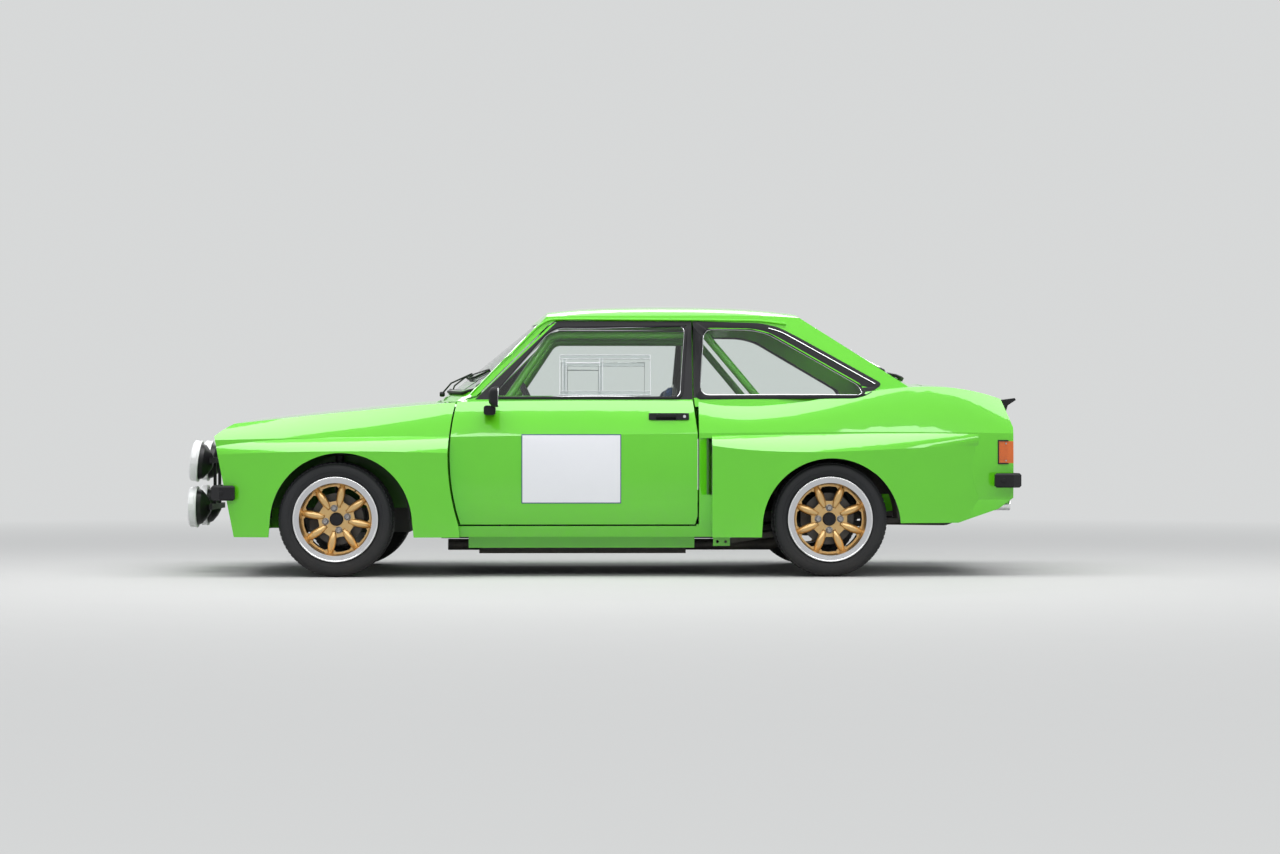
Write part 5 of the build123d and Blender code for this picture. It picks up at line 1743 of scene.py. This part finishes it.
def swollen(made):
    """Lets a closed piece swell a little as cloth under pressure, no vertex further than PAD_REACH."""
    before = [v.co.copy() for v in made.data.vertices]
    cloth = made.modifiers.new("Cloth", "CLOTH")
    settings = cloth.settings
    settings.quality = 4
    settings.mass = 0.3
    settings.tension_stiffness = PAD_STIFFNESS
    settings.compression_stiffness = PAD_STIFFNESS
    settings.bending_stiffness = 0.8
    settings.use_pressure = True
    settings.uniform_pressure_force = PAD_PRESSURE
    settings.effector_weights.gravity = 0
    cloth.point_cache.frame_start, cloth.point_cache.frame_end = 1, PAD_FRAMES
    for frame_number in range(1, PAD_FRAMES + 1):
        bpy.context.scene.frame_set(frame_number)
    bake(made, cloth)
    bpy.context.scene.frame_set(1)
    for vertex, start in zip(made.data.vertices, before):
        move = vertex.co - start
        if move.length > PAD_REACH:
            vertex.co = start + move.normalized() * PAD_REACH


def soft_pads(name, part, material):
    """Padded cloth: closed forms that swell a little under pressure and are then smoothed."""
    made = piece(name, part, material)
    remesh = made.modifiers.new("Remesh", "REMESH")
    remesh.mode = "VOXEL"
    remesh.voxel_size = PAD_VOXEL
    bake(made, remesh)
    swollen(made)
    smooth = made.modifiers.new("Smooth", "SMOOTH")
    smooth.iterations = 3
    bake(made, smooth)
    soften(made, 60)
    return made


def bake(made, modifier):
    """Applies one modifier."""
    bpy.context.view_layer.update()
    graph = bpy.context.evaluated_depsgraph_get()
    mesh = bpy.data.meshes.new_from_object(made.evaluated_get(graph))
    old = made.data
    made.modifiers.remove(modifier)
    made.data = mesh
    mesh.name = made.name
    bpy.data.meshes.remove(old)


def pad_block(side_view, near, far):
    """A pad with a side view between two distances, drawn in a little at its two ends."""
    points = divided(rounded(side_view, 0.022, 4), 0.03)
    middle = sum(points, Vector((0, 0))) / len(points)
    verts = []
    for share, shrink in PAD_ENDS:
        y = near + (far - near) * share
        for point in points:
            inward = (middle - point).normalized() * shrink
            verts.append(Vector((point.x + inward.x, y, point.y + inward.y)))
    count, width = len(PAD_ENDS), len(points)
    return verts, wrapped(count, width, closed=False) + end_caps(count, width)


def belt(out):
    """One shoulder belt of the left seat."""
    path = [Vector((x, out * share + SEAT_MIDDLE, z)) for x, share, z in WEBBING_PATH]
    normals = []
    for i in range(len(path)):
        tangent = (path[min(i + 1, len(path) - 1)] - path[max(i - 1, 0)]).normalized()
        normals.append(Vector((0, 1, 0)).cross(tangent))
    return profile_sweep(path, normals, flat_bar(0.024, 0.0012), closed=False)


class SALOON_OT_seats(bpy.types.Operator):
    """Two bucket seats with padded cloth, hard shells and harnesses"""

    bl_idname = "saloon.seats"
    bl_label = "Seats"

    def execute(self, context):
        pads = [pad_block(view, SEAT_MIDDLE + near, SEAT_MIDDLE + far) for view, near, far in SEAT_PADS]
        left = soft_pads("seat_pads_left", merge(*pads), "cloth")
        verts = [v.co.copy() for v in left.data.vertices]
        faces = [list(p.vertices) for p in left.data.polygons]
        right = piece("seat_pads_right", flipped((verts, faces)), "cloth", angle=60)
        shell = plate_from(SEAT_SHELL, SEAT_MIDDLE - 0.140, SEAT_MIDDLE + 0.140)
        for made in on_both("seat_shell", shell, "shell"):
            bevelled(made, 0.004)
        rails = [brick((-0.04, y - 0.015, 0.195), (0.28, y + 0.015, 0.266)) for y in (-0.500, -0.200)]
        on_both("seat_rails", merge(*rails), "dark_steel")
        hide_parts("seats")
        on_both("harness", merge(*[belt(out) for out in (-WEBBING_OUT, WEBBING_OUT)]), "harness")
        buckle = placed(turned_x(BUCKLE_PROFILE, segments=24), (0.105, SEAT_MIDDLE, 0.410), math.radians(70))
        on_both("harness_buckle", buckle, "steel")
        return {"FINISHED"}


# The cabin: Y, Z and radius of each dial, and other shapes

DIALS = (
    (0.295, 0.756, 0.046), (0.405, 0.756, 0.046), (0.20, 0.762, 0.026), (0.14, 0.762, 0.026),
    (0.08, 0.762, 0.026),
)
DIAL_MARKS = 9
LEVER_PATH = ((-0.20, 0.0, 0.345), (-0.17, 0.0, 0.46), (-0.165, 0.0, 0.555))
LEVER_KNOB = ((-0.024, 0.0), (-0.022, 0.014), (-0.008, 0.023), (0.008, 0.023), (0.022, 0.014), (0.024, 0.0))
GAITER_RINGS = (
    (0.344, 0.075, 0.06), (0.365, 0.06, 0.048), (0.372, 0.064, 0.052), (0.395, 0.045, 0.036),
    (0.402, 0.049, 0.040), (0.43, 0.014, 0.014),
)
GAITER_SIDES = 24
HANDBRAKE_PATH = ((0.02, 0.06, 0.345), (-0.02, 0.06, 0.40), (-0.20, 0.06, 0.47))
BOSS_PROFILE = (
    (-0.005, 0.0), (-0.005, 0.036), (0.004, 0.036), (0.010, 0.030), (0.012, 0.016), (0.012, 0.0),
)
BOSS_BOLT = ((0.0, 0.0), (0.0, 0.004), (0.013, 0.0035), (0.013, 0.0))
GRIP_POINTS = 72


def dashboard_parts():
    """Dials with rims, needles and marks, and a row of switches."""
    rims, faces, needles = [], [], []
    x = DIAL_FACE
    for y, z, r in DIALS:
        edge = [(0.0, r - 0.004), (0.0, r), (0.010, r), (0.012, r - 0.002), (0.010, r - 0.004)]
        rims.append(turned_x(edge, (x, y, z), 40))
        disc = [(0.0, 0.0), (0.0, r - 0.003), (0.004, r - 0.003), (0.004, 0.0)]
        faces.append(turned_x(disc, (x, y, z)))
        needles.append(brick((x + 0.004, y - 0.001, z - 0.2 * r), (x + 0.0055, y + 0.001, z + 0.75 * r)))
        for k in range(DIAL_MARKS):
            angle = math.radians(-130 + 260 * k / (DIAL_MARKS - 1))
            a = Vector((x + 0.0045, y + 0.82 * r * math.sin(angle), z + 0.82 * r * math.cos(angle)))
            needles.append(brick(a - Vector((0, 0.0012, 0.0012)), a + Vector((0.0005, 0.0012, 0.0012))))
    piece("dial_rims", merge(*rims), "bright")
    piece("dial_faces", merge(*faces), "rubber")
    piece("dial_needles", merge(*needles), "white", smooth=False)
    switch = brick((-0.499, -0.007, -0.012), (-0.486, 0.007, 0.012))
    row("dash_switches", switch, "trim", 7, (0, -0.30, 0.745), (0, 0.045, 0))


def floor_controls():
    """Gear lever with its gaiter, handbrake and pedals."""
    lever = merge(tube(LEVER_PATH, 0.007, 10), turned(LEVER_KNOB, (-0.165, 0.0, 0.570), segments=24))
    piece("gear_lever", lever, "dark_steel")
    gaiter = [
        Vector((-0.20 + across * math.cos(a), along * math.sin(a), z))
        for z, across, along in GAITER_RINGS for a in turns(GAITER_SIDES)
    ]
    rings = len(GAITER_RINGS)
    wrap = wrapped(rings, GAITER_SIDES, closed=False) + end_caps(rings, GAITER_SIDES)
    piece("gear_gaiter", (gaiter, wrap), "dash")
    piece("handbrake", tube(HANDBRAKE_PATH, 0.010, 12), "rubber")
    pedals = []
    for y in (0.26, 0.36, 0.46):
        pedals.append(brick((-0.615, y - 0.028, 0.300), (-0.603, y + 0.028, 0.360)))
        pedals.append(tube([(-0.612, y, 0.34), (-0.66, y, 0.48), (-0.665, y, 0.655)], 0.006, 8))
    piece("pedals", merge(*pedals), "dark_steel")


def steering_parts():
    """Boss, grip and bolts of the steering wheel."""
    grip = [Vector((0, y, z)) for y, z in circle_profile(0.165, GRIP_POINTS)]
    grip = profile_sweep(grip, [Vector((1, 0, 0))] * GRIP_POINTS, circle_profile(0.0165, 12))
    bolts = merge(*[turned_x(BOSS_BOLT, (0, y, z), 10) for y, z in circle_profile(0.026, 6)])
    for name, part, material, angle in (
        ("steering_boss", turned_x(BOSS_PROFILE, segments=40), "dash", 35),
        ("steering_grip", grip, "suede", 60),
        ("steering_bolts", bolts, "steel", 35),
    ):
        part = placed(part, STEERING_CENTRE, -STEERING_TILT)
        piece(name, part, material, "steering_wheel", angle=angle)


class SALOON_OT_cabin(bpy.types.Operator):
    """Dials, switches, gear lever, handbrake, pedals, and the steering wheel's boss, grip and bolts"""

    bl_idname = "saloon.cabin"
    bl_label = "Cabin"

    def execute(self, context):
        dashboard_parts()
        floor_controls()
        steering_parts()
        return {"FINISHED"}


# The engine bay

OIL_CAP = ((0.0, 0.0), (0.0, 0.026), (0.014, 0.026), (0.018, 0.020), (0.018, 0.0))
STRUT_TOP = ((0.0, 0.0), (0.0, 0.062), (0.004, 0.060), (0.008, 0.030), (0.014, 0.026), (0.014, 0.0))


class SALOON_OT_engine_bay(bpy.types.Operator):
    """Rocker cover with fins and oil cap, radiator fins and tank, and strut tops"""

    bl_idname = "saloon.engine_bay"
    bl_label = "Engine bay"

    def execute(self, context):
        cover = piece("rocker_cover", brick((-1.46, -0.075, 0.690), (-1.02, 0.075, 0.735)), "cast")
        bevelled(cover, 0.014, 3)
        fin = brick((-1.44, -0.002, 0.734), (-1.04, 0.002, 0.741))
        row("rocker_fins", fin, "cast", 7, (0, -0.048, 0), (0, 0.016, 0))
        piece("oil_cap", upright(turned_x(OIL_CAP, segments=24), (-1.36, 0.0, 0.736)), "rubber")
        fin = brick((-1.7405, -0.0012, 0.345), (-1.6895, 0.0012, 0.675))
        row("radiator_fins", fin, "steel", 100, (0, -0.396, 0), (0, 0.008, 0))
        tank = piece("radiator_tank", brick((-1.745, -0.40, 0.676), (-1.685, 0.40, 0.697)), "cast")
        bevelled(tank, 0.006)
        top = upright(turned_x(STRUT_TOP, segments=40), (FRONT_AXLE, -0.560, 0.7805))
        on_both("strut_top", top, "dark_steel")
        return {"FINISHED"}


class SALOON_PT_panel(bpy.types.Panel):
    """Colours, sizes and pieces of the saloon"""

    bl_idname = "SALOON_PT_panel"
    bl_label = "Rally Saloon"
    bl_space_type = "VIEW_3D"
    bl_region_type = "UI"
    bl_category = "Saloon"

    def draw(self, context):
        layout = self.layout
        for heading, group in (("Colours", colours()), ("Sizes", sizes())):
            box = layout.box()
            box.label(text=heading)
            for name in group.bl_rna.properties.keys():
                if name not in ("rna_type", "name"):
                    box.prop(group, name)
        box = layout.box()
        box.label(text="Pieces")
        for operator in OPERATORS:
            box.operator(operator.bl_idname)


OPERATORS = (
    SALOON_OT_stage, SALOON_OT_finishes, SALOON_OT_window_rubbers, SALOON_OT_wipers, SALOON_OT_door_fittings,
    SALOON_OT_tyres, SALOON_OT_wheel_parts, SALOON_OT_lamp_parts, SALOON_OT_body_parts, SALOON_OT_seats,
    SALOON_OT_cabin, SALOON_OT_engine_bay,
)
CLASSES = (SaloonColours, SaloonSizes, *OPERATORS, SALOON_PT_panel)


def register():
    for item in CLASSES:
        bpy.utils.register_class(item)
    bpy.types.Scene.saloon_colours = PointerProperty(type=SaloonColours)
    bpy.types.Scene.saloon_sizes = PointerProperty(type=SaloonSizes)


def unregister():
    del bpy.types.Scene.saloon_sizes
    del bpy.types.Scene.saloon_colours
    for item in reversed(CLASSES):
        bpy.utils.unregister_class(item)


def main():
    """Registers the add-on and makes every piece."""
    register()
    bpy.ops.saloon.stage()
    bpy.ops.saloon.finishes()
    bpy.ops.saloon.window_rubbers()
    bpy.ops.saloon.wipers()
    bpy.ops.saloon.door_fittings()
    bpy.ops.saloon.tyres()
    bpy.ops.saloon.wheel_parts()
    bpy.ops.saloon.lamp_parts()
    bpy.ops.saloon.body_parts()
    bpy.ops.saloon.seats()
    bpy.ops.saloon.cabin()
    bpy.ops.saloon.engine_bay()


if __name__ == "__main__":
    main()
